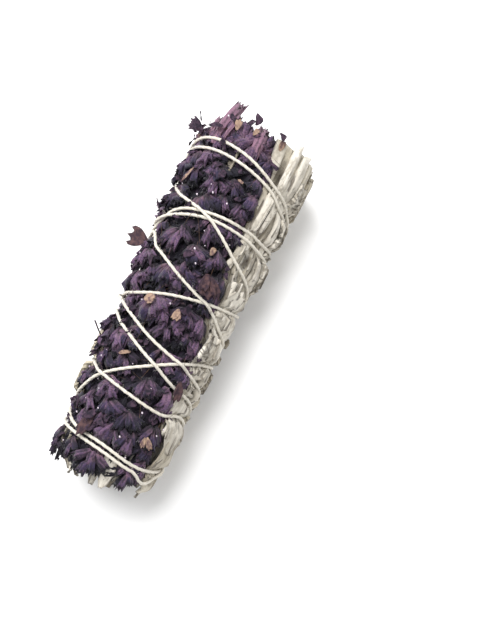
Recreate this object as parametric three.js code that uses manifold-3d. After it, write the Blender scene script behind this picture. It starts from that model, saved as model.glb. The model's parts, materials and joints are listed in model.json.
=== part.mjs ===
// A smudge stick: leafy cuttings of dried white sage laid round three bare stems, statice sprays
// laid along one side of them, and one length of cotton twine wound criss-cross round it all.
// Millimetres. X runs along the stick, with +X towards the cut stem ends, and Z = 0 is the surface
// that the stick lies on. Angles round the stick are measured from +Z towards -Y.
import * as THREE from "three";
import { mergeVertices } from "three/addons/utils/BufferGeometryUtils.js";
import Module from "manifold-3d";

const wasm = await Module();
wasm.setup();

// Driving dimensions
const HALF_LENGTH = 52; // half of the sage, from the cut ends to the leaf tips
const BIND_RADIUS = 15.6; // centre line of the twine round the middle of the stick
const BIND_SWELL = 1.5; // how much larger that radius is at the cut ends, and smaller at the tips
const AXIS_DROP = 0.3; // how far the round form is pressed into the surface by its own weight
const BUNDLE_TWIST = 17; // degrees that the bundle turns from its middle to each end
const MIDDLE = [3.4, 0, 0]; // the place under the middle of the whole object, put at the origin

const TWINE_THICKNESS = 0.95;
const TWINE_SIDES = 4;
const TWINE_BEND = 0.24; // how far a straight facet of the twine may lie off its course
const TWINE_REST_HEIGHT = 0.62; // lowest place of the twine's centre line over the surface
const TWINE_GAP = 0.28; // free space round the twine
const STRETCH = 9; // facets in one stretch of it
const LIFT_SLOPE = 0.3; // how steeply the twine climbs over a strand that it crosses
const KNOT_LENGTH = 3.6;
const KNOT_THICKNESS = 2.2;

const BULGE = 1.9; // how far the leaves rise between two strands of twine
const BULGE_START = 0.9; // distance from the twine where they begin to rise
const BULGE_END = 4;
const NODE_GAP = 0.3; // free space between two pieces

const STEM_RADIUS = 2.9;
const STEM_RING_RADIUS = 3.75;
const STEM_SIDES = 8;
const PITH_SHARE = 0.42;
const PITH_DEPTH = 0.7;
const CORE_RADIUS = 7.3; // the leafy cuttings lie outside this radius

const OUTER_SPRIGS = 7;
const OUTER_ARC = 229; // degrees of the stick's round where the sage shows
const OUTER_START = 42; // angle of that arc's first edge at the middle of the stick
const SPRIG_STEM_RADIUS = 2.2;
const SPRIG_STEM_PLACE = 10.4;
const BED_DEPTH = 0.85; // depth of the crumpled inner leaves under the outer ones
const LEAF_DEPTH = 1.5;
const LEAF_LAYER = 0.7; // how much lower some cuttings lie than their neighbours
const LOW_SPRIGS = [1, 5];

const INNER_SPRIGS = 3;
const INNER_TOP = 10;

const SPRAYS = 4;
const SPRAY_ARC = 360 - OUTER_ARC;
const SPRAY_START = OUTER_START - SPRAY_ARC;
const SPRAY_FLOOR = 10.5;
const SPRAY_COVER = 2.6; // depth of a spray's woody bed under the twine's centre line
const FLORET_ROOT = 1; // depth of the calyces' roots in that bed
const CLUSTER_STEP = 5.4;
const CLUSTER_FLORETS = 4;
const LOOSE_FLORETS = 72; // further single calyces that each spray tries to hold
const MOST_FLORETS = 78;
const FLORET_LENGTH = 8.2;
const FLORET_RIM = 1.95;
const FLORET_OVERLAP = 0.7; // how deep two calyces of one spray may lie in each other
const FLORET_REACH = 2.2; // how far the middle of a rim may stand over the twine's centre line
const CROWN_LENGTH = 13;
const PLEATS = 5;

// The twine's route. Each row is one turn, the places along the stick where the twine passes the
// angles of TURN_ANGLES. The turns run up the stick, down, and once more down the lower half.
const TURN_ANGLES = [-80, -40, 0, 40, 80, 180];
const TWINE_TURNS = [
  [-38, -42, -43.8, -45.4, -44, -38],
  [-34, -28, -22.3, -16.5, -13, -9],
  [-5, -4.2, -1.8, 0.6, 2.8, 9],
  [14.6, 20.8, 22.4, 22.8, 23.4, 31],
  [39.8, 40.2, 38.5, 36, 33.4, 38],
  [42.6, 43.4, 41.4, 37.8, 35.2, 25.8],
  [17.2, 19.3, 20.8, 20.7, 20.6, 24.7],
  [28.8, 25, 20.6, 14, 10.3, 2],
  [-5.1, -9.5, -14.6, -17.4, -19.6, -22],
  [-23.8, -27, -29.6, -30.8, -29, -35],
  [-41.4, -43.6, -45.3, -46.8, -45.6, -14],
  [13.2, 9, 3.1, -1, -5, -7.4],
  [-9, -13.5, -18.8, -23, -24.5, -31],
];
const KNOT_PLACE = -35.5;
const KNOT_ANGLE = 232;

const MATERIALS = {
  leaf: new THREE.MeshStandardMaterial({ color: 0xb9b3a2, roughness: 0.95, metalness: 0 }),
  stem: new THREE.MeshStandardMaterial({ color: 0xa89877, roughness: 0.9, metalness: 0 }),
  flower: new THREE.MeshStandardMaterial({ color: 0x3d2a4a, roughness: 0.85, metalness: 0 }),
  twine: new THREE.MeshStandardMaterial({ color: 0xeae6d8, roughness: 0.9, metalness: 0 }),
};

const { clamp, degToRad: radians, lerp, smoothstep: smooth } = THREE.MathUtils;

// The form of the bundle

function bindRadius(x) {
  return BIND_RADIUS + (BIND_SWELL * x) / HALF_LENGTH;
}

function spineHeight(x) {
  return bindRadius(x) - AXIS_DROP;
}

function twist(x) {
  return radians((-BUNDLE_TWIST * x) / HALF_LENGTH);
}

function place(x, angle, radius) {
  const side = -radius * Math.sin(angle);
  return new THREE.Vector3(x, side, spineHeight(x) + radius * Math.cos(angle));
}

function radiusOf(point) {
  return Math.hypot(point.y, point.z - spineHeight(point.x));
}

// The largest radius that stays at or above a height over the surface.
function radiusAbove(x, angle, height) {
  const down = -Math.cos(angle);
  return down > 0.05 ? (spineHeight(x) - height) / down : Infinity;
}

function twineRadius(x, angle) {
  return Math.min(bindRadius(x), radiusAbove(x, angle, TWINE_REST_HEIGHT));
}

function wrapped(angle) {
  return angle - 2 * Math.PI * Math.round(angle / (2 * Math.PI));
}

// Distance over the unrolled surface between two points of it.
function apart(a, b) {
  return Math.hypot(a.x - b.x, wrapped(a.angle - b.angle) * BIND_RADIUS);
}

// A repeatable random number for a whole number.
function between(low, high, seed) {
  const wave = Math.sin(seed * 127.1 + 311.7) * 43758.5453;
  return low + (high - low) * (wave - Math.floor(wave));
}

// The twine's course, a point about every millimetre. Where it crosses an earlier strand it
// climbs over it.
function twineCourse() {
  const flat = [new THREE.Vector3(KNOT_PLACE, radians(KNOT_ANGLE - 360) * BIND_RADIUS, 0)];
  TWINE_TURNS.forEach((turn, n) =>
    turn.forEach((x, i) => {
      const angle = radians(TURN_ANGLES[i] + 360 * n);
      flat.push(new THREE.Vector3(x, angle * BIND_RADIUS, 0));
    }),
  );
  const end = radians(KNOT_ANGLE + 360 * (TWINE_TURNS.length - 1));
  flat.push(new THREE.Vector3(KNOT_PLACE, end * BIND_RADIUS, 0));
  const curve = new THREE.CatmullRomCurve3(flat, false, "catmullrom", 0.5);
  curve.arcLengthDivisions = 4000;
  const course = curve
    .getSpacedPoints(Math.round(curve.getLength()))
    .map((p) => ({ x: p.x, angle: p.y / BIND_RADIUS, lift: 0 }));
  const span = 1.06 * TWINE_THICKNESS;
  const spread = Math.ceil((3 * span) / LIFT_SLOPE);
  course.forEach((point, i) => {
    let climb = 0;
    for (let j = 0; j < i - 30; j++) {
      if (Math.abs(point.x - course[j].x) > span) continue;
      const gap = apart(point, course[j]);
      if (gap < span) climb = Math.max(climb, course[j].lift + Math.sqrt(span ** 2 - gap ** 2));
    }
    if (climb === 0) return;
    for (let k = Math.max(0, i - spread); k < Math.min(course.length, i + spread); k++) {
      course[k].lift = Math.max(course[k].lift, climb - LIFT_SLOPE * Math.abs(k - i));
    }
  });
  for (const point of course) {
    const { x, angle, lift } = point;
    const lowest = radiusAbove(x, angle, TWINE_REST_HEIGHT);
    point.centre = place(x, angle, Math.min(bindRadius(x) + lift, lowest));
    point.outward = place(x, angle, 1).sub(place(x, angle, 0));
  }
  return course;
}

const course = twineCourse();

// Distance from every place of the unrolled surface to the twine, looked up on a fine map.
const MAP_STEP = 0.5;
const MAP_REACH = 70;
const MAP_ROWS = Math.round((2 * Math.PI * BIND_RADIUS) / MAP_STEP);
const MAP_COLUMNS = (2 * MAP_REACH) / MAP_STEP + 1;
const distanceMap = new Float32Array(MAP_ROWS * MAP_COLUMNS).fill(BULGE_END + 1);

function mapIndex(column, row) {
  return (((row % MAP_ROWS) + MAP_ROWS) % MAP_ROWS) * MAP_COLUMNS + column;
}

for (const { x, angle } of course) {
  const column = Math.round((x + MAP_REACH) / MAP_STEP);
  const row = Math.round((angle / (2 * Math.PI)) * MAP_ROWS);
  const reach = Math.ceil((BULGE_END + 1) / MAP_STEP);
  for (let i = -reach; i <= reach; i++) {
    for (let j = -reach; j <= reach; j++) {
      const spot = { x: (column + i) * MAP_STEP - MAP_REACH };
      spot.angle = ((row + j) / MAP_ROWS) * 2 * Math.PI;
      const index = mapIndex(column + i, row + j);
      distanceMap[index] = Math.min(distanceMap[index], apart(spot, { x, angle }));
    }
  }
}

function twineDistance(x, angle) {
  const column = Math.round((x + MAP_REACH) / MAP_STEP);
  return distanceMap[mapIndex(column, Math.round((angle / (2 * Math.PI)) * MAP_ROWS))];
}

// Radius of the stick's skin: pressed in under the twine, proud between its strands, and flat
// where it lies on the surface. A sink lowers it before that and a layer after it, and a span
// makes it the lowest place within that distance along the stick.
function skinRadius(x, angle, layer = 0, span = 0, sink = 0) {
  const near = Math.min(...[-1, -0.5, 0, 0.5, 1].map((t) => twineDistance(x + t * span, angle)));
  const under = TWINE_THICKNESS / 2 + TWINE_GAP;
  const pressed = twineRadius(x, angle) - under;
  const proud = bindRadius(x) - under + BULGE;
  const radius = lerp(pressed, proud, smooth(near, BULGE_START, BULGE_END)) - sink;
  return Math.min(radius, radiusAbove(x, angle, 0)) - layer;
}

// Solids

function solidOf(geometry) {
  const bare = geometry.clone();
  bare.deleteAttribute("normal");
  bare.deleteAttribute("uv");
  const merged = mergeVertices(bare, 1e-4);
  return new wasm.Manifold(
    new wasm.Mesh({
      numProp: 3,
      vertProperties: merged.attributes.position.array,
      triVerts: new Uint32Array(merged.index.array),
    }),
  );
}

// A cylinder's geometry with every vertex moved to a place given by its station and its side.
// The row of stations may run either way, and so may the places round each.
function loft(stations, sides, pointAt) {
  const rings = Array.from({ length: stations }, (_, s) =>
    Array.from({ length: sides }, (_, i) => pointAt(s, i)),
  );
  const along = rings[stations - 1][0].clone().sub(rings[0][0]);
  const middleRing = rings[stations >> 1];
  const turning = new THREE.Vector3();
  middleRing.forEach((p, i) => turning.add(p.clone().cross(middleRing[(i + 1) % sides])));
  if (turning.dot(along) > 0) rings.forEach((ring) => ring.reverse());
  const geometry = new THREE.CylinderGeometry(1, 1, 1, sides, stations - 1);
  const positions = geometry.attributes.position;
  const vertex = new THREE.Vector3();
  for (let v = 0; v < positions.count; v++) {
    vertex.fromBufferAttribute(positions, v);
    const ring = rings[Math.round((0.5 - vertex.y) * (stations - 1))];
    if (Math.hypot(vertex.x, vertex.z) < 0.5) {
      vertex.set(0, 0, 0);
      ring.forEach((p) => vertex.addScaledVector(p, 1 / sides));
    } else {
      const turn = Math.atan2(vertex.x, vertex.z) / (2 * Math.PI);
      vertex.copy(ring[Math.round(turn * sides + sides) % sides]);
    }
    positions.setXYZ(v, vertex.x, vertex.y, vertex.z);
  }
  return solidOf(geometry);
}

// Solids joined one after the other, each of which must leave something.
function union(solids) {
  return solids.reduce((whole, part) => {
    const joined = whole.add(part);
    if (joined.isEmpty()) throw new Error("a join came out empty");
    return joined;
  });
}

// The largest body of a solid, without the loose scraps that a cut leaves.
function wholeBody(solid) {
  const bodies = solid.decompose();
  return bodies.reduce((best, body) => (body.volume() > best.volume() ? body : best), bodies[0]);
}

function meet(solid, other) {
  return !solid.intersect(other).isEmpty();
}

// A solid cut back from its neighbour, with a gap, where the two would meet.
function keptClear(solid, other) {
  if (!meet(solid, other)) return solid;
  const g = 0.7 * NODE_GAP;
  const shifts = [
    [g, 0, g],
    [-g, 0, -g],
    [0, g, -g],
    [0, -g, g],
  ];
  return shifts.reduce((left, shift) => left.subtract(other.translate(shift)), solid);
}

// Twine

// The points of the course that a line of straight facets needs, by the distance that it would
// otherwise lie off it.
function facetPoints(first, last) {
  const line = new THREE.Line3(course[first].centre, course[last].centre);
  const nearest = new THREE.Vector3();
  let worst = 0;
  let split = first;
  for (let i = first + 1; i < last; i++) {
    line.closestPointToPoint(course[i].centre, true, nearest);
    const distance = nearest.distanceTo(course[i].centre);
    if (distance > worst) {
      worst = distance;
      split = i;
    }
  }
  if (worst < TWINE_BEND) return [first];
  return [...facetPoints(first, split), ...facetPoints(split, last)];
}

// A tube through a row of points, with one edge facing outwards, made in stretches.
function tubeThrough(points, thickness) {
  const last = points.length - 1;
  const rings = points.map(({ centre, outward }, s) => {
    const ahead = points[Math.min(s + 1, last)].centre;
    const tangent = ahead.clone().sub(points[Math.max(s - 1, 0)].centre).normalize();
    const across = tangent.clone().cross(outward).normalize();
    const up = across.clone().cross(tangent);
    return Array.from({ length: TWINE_SIDES }, (_, i) => {
      const turn = (i / TWINE_SIDES) * 2 * Math.PI;
      return centre
        .clone()
        .addScaledVector(up, (thickness / 2) * Math.cos(turn))
        .addScaledVector(across, (thickness / 2) * Math.sin(turn));
    });
  });
  const stretches = [];
  for (let start = 0; start < last; start += STRETCH) {
    const count = Math.min(STRETCH, last - start) + 1;
    stretches.push(loft(count, TWINE_SIDES, (s, i) => rings[start + s][i].clone()));
  }
  return union(stretches);
}

function twineSolid(thickness) {
  const facets = [...facetPoints(0, course.length - 1), course.length - 1];
  return tubeThrough(facets.map((i) => course[i]), thickness);
}

// The knot that ties the two ends together, a lump with two short tails.
function knotSolid(grow) {
  const angle = radians(KNOT_ANGLE);
  const radius = twineRadius(KNOT_PLACE, angle);
  const lump = new THREE.SphereGeometry(1, 7, 5);
  lump.scale(KNOT_LENGTH / 2 + grow, KNOT_THICKNESS / 2 + grow, KNOT_THICKNESS / 2 + grow);
  lump.translate(...place(KNOT_PLACE, angle, radius - 0.2).toArray());
  const tail = (reach, drift) =>
    tubeThrough(
      [0, 1, 2].map((i) => {
        const x = KNOT_PLACE + (reach * i) / 2;
        const turn = angle + (drift * i) / 2;
        const outward = place(x, turn, 1).sub(place(x, turn, 0));
        return { outward, centre: place(x, turn, twineRadius(x, turn)) };
      }),
      TWINE_THICKNESS + 2 * grow,
    );
  return union([solidOf(lump), tail(-7, -0.2), tail(6.5, 0.3)]);
}

const twine = twineSolid(TWINE_THICKNESS).add(knotSolid(0));
const groove = twineSolid(TWINE_THICKNESS + TWINE_GAP).add(knotSolid(TWINE_GAP));

// Sage

// The edges of one cell of the bundle at a place along it, with the free space left out.
function cellEdges({ start, end }, x, radius) {
  const gap = NODE_GAP / 2 / radius;
  return [start + twist(x) + gap, end + twist(x) - gap];
}

function cellOf(firstDegree, arc, count, k) {
  const width = radians(arc / count);
  const start = radians(firstDegree) + k * width;
  return { start, end: start + width, middle: start + width / 2 };
}

// A stem with a sunk pith at its cut end, running back from that end.
function stemSolid(angle, ringRadius, radius, cutEnd, length, seed) {
  const stations = [
    { x: cutEnd - length, share: 0.85 },
    { x: cutEnd, share: 1 },
    { x: cutEnd, share: PITH_SHARE },
    { x: cutEnd - PITH_DEPTH, share: PITH_SHARE * 0.8 },
  ];
  return loft(stations.length, STEM_SIDES, (s, i) => {
    const { x, share } = stations[s];
    const turn = (i / STEM_SIDES) * 2 * Math.PI;
    const size = radius * share * (1 + 0.06 * Math.sin(3 * turn + seed));
    const slant = s ? 0.4 * share * Math.cos(turn + seed) : 0;
    const centre = place(x, angle + twist(x), ringRadius);
    return new THREE.Vector3(
      centre.x + slant,
      centre.y + size * Math.cos(turn),
      centre.z + size * Math.sin(turn),
    );
  });
}

// The crumpled inner leaves of a cutting, or the woody bed of a spray: a wedge of the bundle.
function bedSolid({ cell, floor, surface, from, to, seed }) {
  const stations = 7;
  const across = [0, 0.33, 0.67, 1];
  const span = (to - from) / (stations - 1) / 2;
  const deepest = floor / Math.cos((cell.end - cell.start) / 2);
  return loft(stations, across.length + 2, (s, i) => {
    const x = lerp(from, to, s / (stations - 1));
    if (i < across.length) {
      const [low, high] = cellEdges(cell, x, bindRadius(x));
      const angle = lerp(low, high, across[i]);
      const crumple = 0.3 * Math.sin(seed * 1.7 + x * 0.4 + i * 2.1) - 0.2;
      const drop = s === 0 || s === stations - 1 ? 1 : 0;
      return place(x, angle, Math.max(surface(x, angle, span) + crumple - drop, deepest + 0.9));
    }
    const [low, high] = cellEdges(cell, x, floor);
    return place(x, i === across.length ? high : low, deepest);
  });
}

// One dried leaf lying along the stick from its base towards the leaf tips, with waved edges
// and a sunk midrib, rooted in the layer below.
function leafSolid({ cell, base, length, offset, drift, halfWidth, layerAt, seed, stations = 7 }) {
  const across = [-1, -0.5, 0, 0.5, 1];
  const span = length / (stations - 1) / 2;
  return loft(stations, across.length + 2, (s, i) => {
    const share = s / (stations - 1);
    const x = base - length * share;
    const radius = bindRadius(x);
    const blade = Math.pow(Math.sin(Math.PI * (0.14 + 0.83 * share)), 0.7);
    const [low, high] = cellEdges(cell, x, radius);
    const middle = cell.middle + twist(x) + offset + drift * share;
    const wave = Math.sin(seed * 2.3 + s * 2.4);
    const t = i < across.length ? across[i] : i === across.length ? 0.6 : -0.6;
    const room = t < 0 ? middle - low : high - middle;
    const half = Math.min(halfWidth * blade * (1 + 0.16 * wave * Math.sign(t)), room * radius);
    const spot = middle + (t * Math.max(half, 0.5)) / radius;
    const curl = 0.22 * wave * t + 0.3 * t * t - (t === 0 ? 0.6 : 0.35);
    const sink = layerAt(share) - Math.min(curl, 0);
    const depth = i < across.length ? 0 : LEAF_DEPTH;
    return place(x, spot, skinRadius(x, spot, depth, span, sink));
  });
}

// A leaf dried into a roll, lying along the stick.
function rolledLeafSolid({ cell, base, length, offset, drift, radius, seed }) {
  const stations = 5;
  const sides = 7;
  const span = length / (stations - 1) / 2;
  return loft(stations, sides, (s, i) => {
    const share = s / (stations - 1);
    const x = base - length * share;
    const size = radius * (1 - 0.35 * share * share) * (s ? 1 : 0.85);
    const middle = cell.middle + twist(x) + offset + drift * share;
    const height = skinRadius(x, middle, 0, span) - size;
    const turn = (i / sides) * 2 * Math.PI;
    const rough = size * (1 + 0.08 * Math.sin(2 * turn + seed));
    const spot = middle + (rough * Math.sin(turn)) / bindRadius(x);
    const reach = height + rough * Math.cos(turn);
    return place(x, spot, Math.min(reach, radiusAbove(x, spot, 0)));
  });
}

const LEAF_ROWS = [
  { bases: [49, 21, -8], lengths: [45, 48, 42] },
  { bases: [47, 17, -4], lengths: [50, 49, 45] },
];

// The small leaf pressed flat underneath, which the stick rests on.
const RESTING_LEAF = { sprig: 4, base: 22.6, length: 11.4, halfWidth: 4 };

// Base, length and side of the rolled leaves on each cutting.
const ROLLED_LEAVES = [
  [
    [50.5, 38, -1],
    [8, 44, 1],
  ],
  [[50, 42, 1]],
  [[12, 46, -1]],
  [],
  [[49.5, 40, 1]],
  [],
  [[50, 44, -1]],
];

function outerSprig(k) {
  const cell = cellOf(OUTER_START, OUTER_ARC, OUTER_SPRIGS, k);
  const layer = LOW_SPRIGS.includes(k) ? LEAF_LAYER : 0;
  const { bases, lengths } = LEAF_ROWS[k % 2];
  const parts = [
    bedSolid({
      cell,
      floor: CORE_RADIUS,
      surface: (x, angle, span) => skinRadius(x, angle, BED_DEPTH, span, layer),
      from: -46 + between(-2, 2, k),
      to: 47,
      seed: k,
    }),
    stemSolid(cell.middle, SPRIG_STEM_PLACE, SPRIG_STEM_RADIUS, between(49, 52, k + 7), 12, k),
  ];
  bases.forEach((base, i) => {
    const seed = 10 * k + i;
    parts.push(
      leafSolid({
        cell,
        base: base + between(-1.5, 1.5, seed),
        length: lengths[i] + between(-1.5, 1.5, seed + 1),
        offset: between(-0.06, 0.06, seed + 2),
        drift: between(-0.06, 0.06, seed + 3),
        halfWidth: between(3.9, 4.9, seed + 4),
        layerAt: () => layer,
        seed,
      }),
    );
  });
  if (k === RESTING_LEAF.sprig) {
    const flat = { cell, offset: 0, drift: 0, layerAt: () => 0, seed: 47, stations: 5 };
    parts.push(leafSolid({ ...flat, ...RESTING_LEAF }));
  }
  for (const [base, length, side] of ROLLED_LEAVES[k]) {
    parts.push(
      rolledLeafSolid({
        cell,
        base,
        length,
        offset: 0.08 * side,
        drift: between(-0.03, 0.03, k + base),
        radius: 2.15,
        seed: k,
      }),
    );
  }
  return union(parts);
}

function innerSprig(k) {
  const cell = cellOf(SPRAY_START, SPRAY_ARC, INNER_SPRIGS, k);
  const seed = 80 + 3 * k;
  const tips = [-0.2, 0.2].map((offset, i) =>
    leafSolid({
      cell,
      base: -38,
      length: 13.5 + between(0, 2, seed + i),
      offset,
      drift: 0,
      halfWidth: 3.8,
      layerAt: (share) => lerp(5.8, 1.4, smooth(share, 0.5, 0.9)),
      seed: seed + i,
      stations: 5,
    }),
  );
  return union([
    bedSolid({ cell, floor: CORE_RADIUS, surface: () => INNER_TOP, from: -47, to: 46, seed }),
    stemSolid(cell.middle, 8.9, 1.4, between(49, 51.5, seed), 12, seed),
    ...tips,
  ]);
}

// Statice

// One calyx: a pleated funnel with a jagged rim and a hollow mouth, made from a cone.
function floretSolid({ root, direction, outward, length, rim }) {
  const side = direction.clone().cross(outward).normalize();
  const up = side.clone().cross(direction);
  const geometry = new THREE.ConeGeometry(1, 1, PLEATS, 1);
  const positions = geometry.attributes.position;
  const vertex = new THREE.Vector3();
  for (let v = 0; v < positions.count; v++) {
    vertex.fromBufferAttribute(positions, v);
    const radius = Math.hypot(vertex.x, vertex.z);
    if (vertex.y > 0) {
      vertex.copy(root);
    } else if (radius < 0.5) {
      vertex.copy(root).addScaledVector(direction, length - 1.6);
    } else {
      const turn = Math.atan2(vertex.x, vertex.z);
      const pleat = Math.round((turn / (2 * Math.PI)) * PLEATS) % 2 === 0;
      const reach = rim * (pleat ? 1 : 0.78);
      vertex
        .copy(root)
        .addScaledVector(direction, length + (pleat ? 0.5 : -0.4))
        .addScaledVector(side, reach * Math.sin(turn))
        .addScaledVector(up, -0.8 * reach * Math.cos(turn));
    }
    positions.setXYZ(v, vertex.x, vertex.y, vertex.z);
  }
  return solidOf(geometry);
}

// Whether two calyces of one spray cover more of each other than a given depth.
function crowd(a, b, depth) {
  const pairs = [
    [a, b],
    [b, a],
  ];
  return pairs.some(([one, other]) =>
    [0.55, 0.8, 1].some((share) => {
      const ball = one.root.clone().addScaledVector(one.direction, one.length * share);
      const offset = ball.sub(other.root);
      const along = clamp(offset.dot(other.direction), 0, other.length + 0.5);
      const distance = offset.addScaledVector(other.direction, -along).length();
      const reach = (other.rim * along) / other.length + 0.85 * one.rim * share;
      return distance < reach - depth;
    }),
  );
}

// Turns sideways and upwards, in degrees, that a calyx tries in order to find room.
const FLORET_TURNS = [
  [0, 0],
  [0, 10],
  [0, -10],
  [12, 0],
  [-12, 0],
  [24, 5],
  [-24, 5],
  [0, 18],
  [14, 14],
  [-14, 14],
  [36, 5],
  [-36, 5],
];
const placedFlorets = [];

function meetsTwine({ root, direction, length, rim }) {
  const offset = new THREE.Vector3();
  return course.some(({ x, centre }) => {
    if (Math.abs(x - root.x) > length + 3) return false;
    const along = clamp(offset.copy(centre).sub(root).dot(direction), 0, length + 0.5);
    const distance = offset.addScaledVector(direction, -along).length();
    return distance < (rim * along) / length + TWINE_THICKNESS / 2 + TWINE_GAP;
  });
}

// Whether a calyx with the free space round it stays clear of the twine, of its neighbours and
// of the calyces of the other sprays.
function hasRoom(floret, obstacles) {
  if (meetsTwine(floret)) return false;
  const near = placedFlorets.filter(
    (other) => other.root.distanceTo(floret.root) < other.length + floret.length + 3,
  );
  const own = near.filter(({ spray }) => spray === floret.spray);
  if (own.some((other) => crowd(floret, other, FLORET_OVERLAP))) return false;
  const grown = floretSolid({
    ...floret,
    root: floret.root.clone().addScaledVector(floret.direction, 1.4),
    length: floret.length - 1.4 + NODE_GAP,
    rim: floret.rim + NODE_GAP,
  });
  const others = near.filter(({ spray }) => spray !== floret.spray).map(floretSolid);
  return [...obstacles, ...others].every((other) => !meet(grown, other));
}

// A fan of calyces on one short branch. One that would meet the twine or another calyx is turned,
// and left out where there is no room for it.
function addCluster(obstacles, cluster) {
  const { x, angle, heading, count, length, tilt, spread, seed, spray } = cluster;
  const along = new THREE.Vector3(1, 0, 0);
  const round = new THREE.Vector3(0, -Math.cos(angle), -Math.sin(angle));
  const outward = new THREE.Vector3(0, -Math.sin(angle), Math.cos(angle));
  for (let i = 0; i < count; i++) {
    const own = seed * 10 + i;
    const share = count > 1 ? i / (count - 1) - 0.5 : 0;
    const spot = x + between(-1.4, 1.4, own + 7);
    const root = place(spot, angle, bindRadius(spot) - SPRAY_COVER - FLORET_ROOT);
    const size = length * between(0.85, 1.1, own);
    for (const [turn, climb] of FLORET_TURNS) {
      const fan = radians(share * spread + turn + between(-6, 6, own + 5));
      const rise = radians(tilt + (1 - 4 * share * share) * 12 + climb + between(-4, 4, own + 3));
      const direction = along
        .clone()
        .multiplyScalar(heading * Math.cos(fan) * Math.cos(rise))
        .addScaledVector(round, Math.sin(fan) * Math.cos(rise))
        .addScaledVector(outward, Math.sin(rise));
      const rim = FLORET_RIM * between(0.85, 1.08, own + 2);
      const floret = { root, direction, outward, length: size, rim, spray };
      const mouth = root.clone().addScaledVector(direction, size);
      if (radiusOf(mouth) > bindRadius(x) + FLORET_REACH || mouth.x < -HALF_LENGTH) continue;
      if (!hasRoom(floret, obstacles)) continue;
      placedFlorets.push({ ...floret, heart: root.clone().addScaledVector(direction, 0.6 * size) });
      break;
    }
  }
}

function sprayCell(m) {
  return cellOf(SPRAY_START, SPRAY_ARC, SPRAYS, m);
}

// A cluster of one spray, at a place along the stick and a turn away from the spray's middle.
function clusterAt(m, x, turn, rest) {
  const angle = sprayCell(m).middle + twist(x) + turn;
  return { x, angle, heading: -1, length: FLORET_LENGTH, spray: m, ...rest };
}

// Of some chance places in a spray, the one that is farthest from the calyces already there and
// from the places that were tried before.
const triedPlaces = [];

function openPlace(m, seed) {
  const taken = [...placedFlorets.map(({ heart }) => heart), ...triedPlaces];
  const places = Array.from({ length: 20 }, (_, i) => {
    const x = between(-44, 44, 17 * seed + i);
    const turn = between(-0.24, 0.24, 17 * seed + i + 0.5);
    const spot = place(x - 4, sprayCell(m).middle + twist(x) + turn, bindRadius(x));
    return { x, turn, spot, room: Math.min(...taken.map((other) => other.distanceTo(spot))) };
  });
  const best = places.reduce((a, b) => (b.room > a.room ? b : a));
  triedPlaces.push(best.spot);
  return [best.x, best.turn];
}

// Every spray's calyces: fans along its middle, single ones in the gaps, and a few long ones
// that point beyond the cut ends.
function fillSprays(obstaclesOf) {
  const sprays = Array.from({ length: SPRAYS }, (_, m) => m);
  const add = (m, ...cluster) => addCluster(obstaclesOf(m), clusterAt(m, ...cluster));
  for (const m of sprays) {
    add(m, 45, 0, {
      heading: 1,
      count: 4,
      length: CROWN_LENGTH,
      tilt: -2,
      spread: 50,
      seed: 200 + m,
    });
  }
  for (let n = 0; 43 - n * CLUSTER_STEP > -44; n++) {
    for (const m of sprays) {
      const seed = 20 * m + n;
      const x = 43 - (n + (m % 2) / 2) * CLUSTER_STEP;
      const side = n % 2 ? 0.11 : -0.11;
      add(m, x, side + between(-0.04, 0.04, seed + 4), {
        count: CLUSTER_FLORETS,
        tilt: 8,
        spread: 70,
        seed,
      });
    }
  }
  for (let i = 0; i < LOOSE_FLORETS; i++) {
    for (const m of sprays) {
      if (placedFlorets.filter(({ spray }) => spray === m).length >= MOST_FLORETS) continue;
      const seed = 300 + 100 * m + i;
      add(m, ...openPlace(m, seed), {
        count: 1,
        length: 0.9 * FLORET_LENGTH,
        tilt: 4,
        spread: 0,
        seed,
      });
    }
  }
}

function sprayBed(m) {
  const cell = sprayCell(m);
  const surface = (x) => bindRadius(x) - SPRAY_COVER;
  return bedSolid({ cell, floor: SPRAY_FLOOR, surface, from: -47, to: 49, seed: 50 + m });
}

function spraySolid(m, bed) {
  const stem = stemSolid(sprayCell(m).middle, 12.9, 0.9, between(49.5, 51.5, 60 + m), 6, m);
  const florets = placedFlorets.filter(({ spray }) => spray === m).map(floretSolid);
  return union([bed, stem, ...florets]);
}

// Assembly

const pieces = new Map([["twine", twine]]);
const kinds = new Map([["twine", "twine"]]);

function addPiece(name, kind, solid, neighbours) {
  const clear = neighbours.reduce((left, other) => keptClear(left, pieces.get(other)), solid);
  pieces.set(name, wholeBody(meet(clear, groove) ? clear.subtract(groove) : clear));
  kinds.set(name, kind);
}

for (let i = 0; i < 3; i++) {
  const angle = radians(120 * i + 40);
  const stem = stemSolid(angle, STEM_RING_RADIUS, STEM_RADIUS, 50 + 0.9 * i, 92, i);
  addPiece(`bare_stem_${i + 1}`, "stem", stem, []);
}
const sprigName = (k) => `sage_sprig_${k + 1}`;
for (let k = 0; k < OUTER_SPRIGS; k++) {
  addPiece(sprigName(k), "leaf", outerSprig(k), k ? [sprigName(k - 1)] : []);
}
const sageEdges = [sprigName(0), sprigName(OUTER_SPRIGS - 1)];
for (let k = 0; k < INNER_SPRIGS; k++) {
  const before = k ? [sprigName(OUTER_SPRIGS + k - 1)] : [];
  addPiece(sprigName(OUTER_SPRIGS + k), "leaf", innerSprig(k), [...sageEdges, ...before]);
}
const beds = Array.from({ length: SPRAYS }, (_, m) => sprayBed(m));
const round = [pieces.get(sageEdges[1]), ...beds, pieces.get(sageEdges[0])];
const inner = [0, 1, 2].map((k) => pieces.get(sprigName(OUTER_SPRIGS + k)));
fillSprays((m) => [round[m], round[m + 2], ...inner]);
for (let m = 0; m < SPRAYS; m++) {
  addPiece(`statice_spray_${m + 1}`, "flower", spraySolid(m, beds[m]), []);
}

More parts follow.
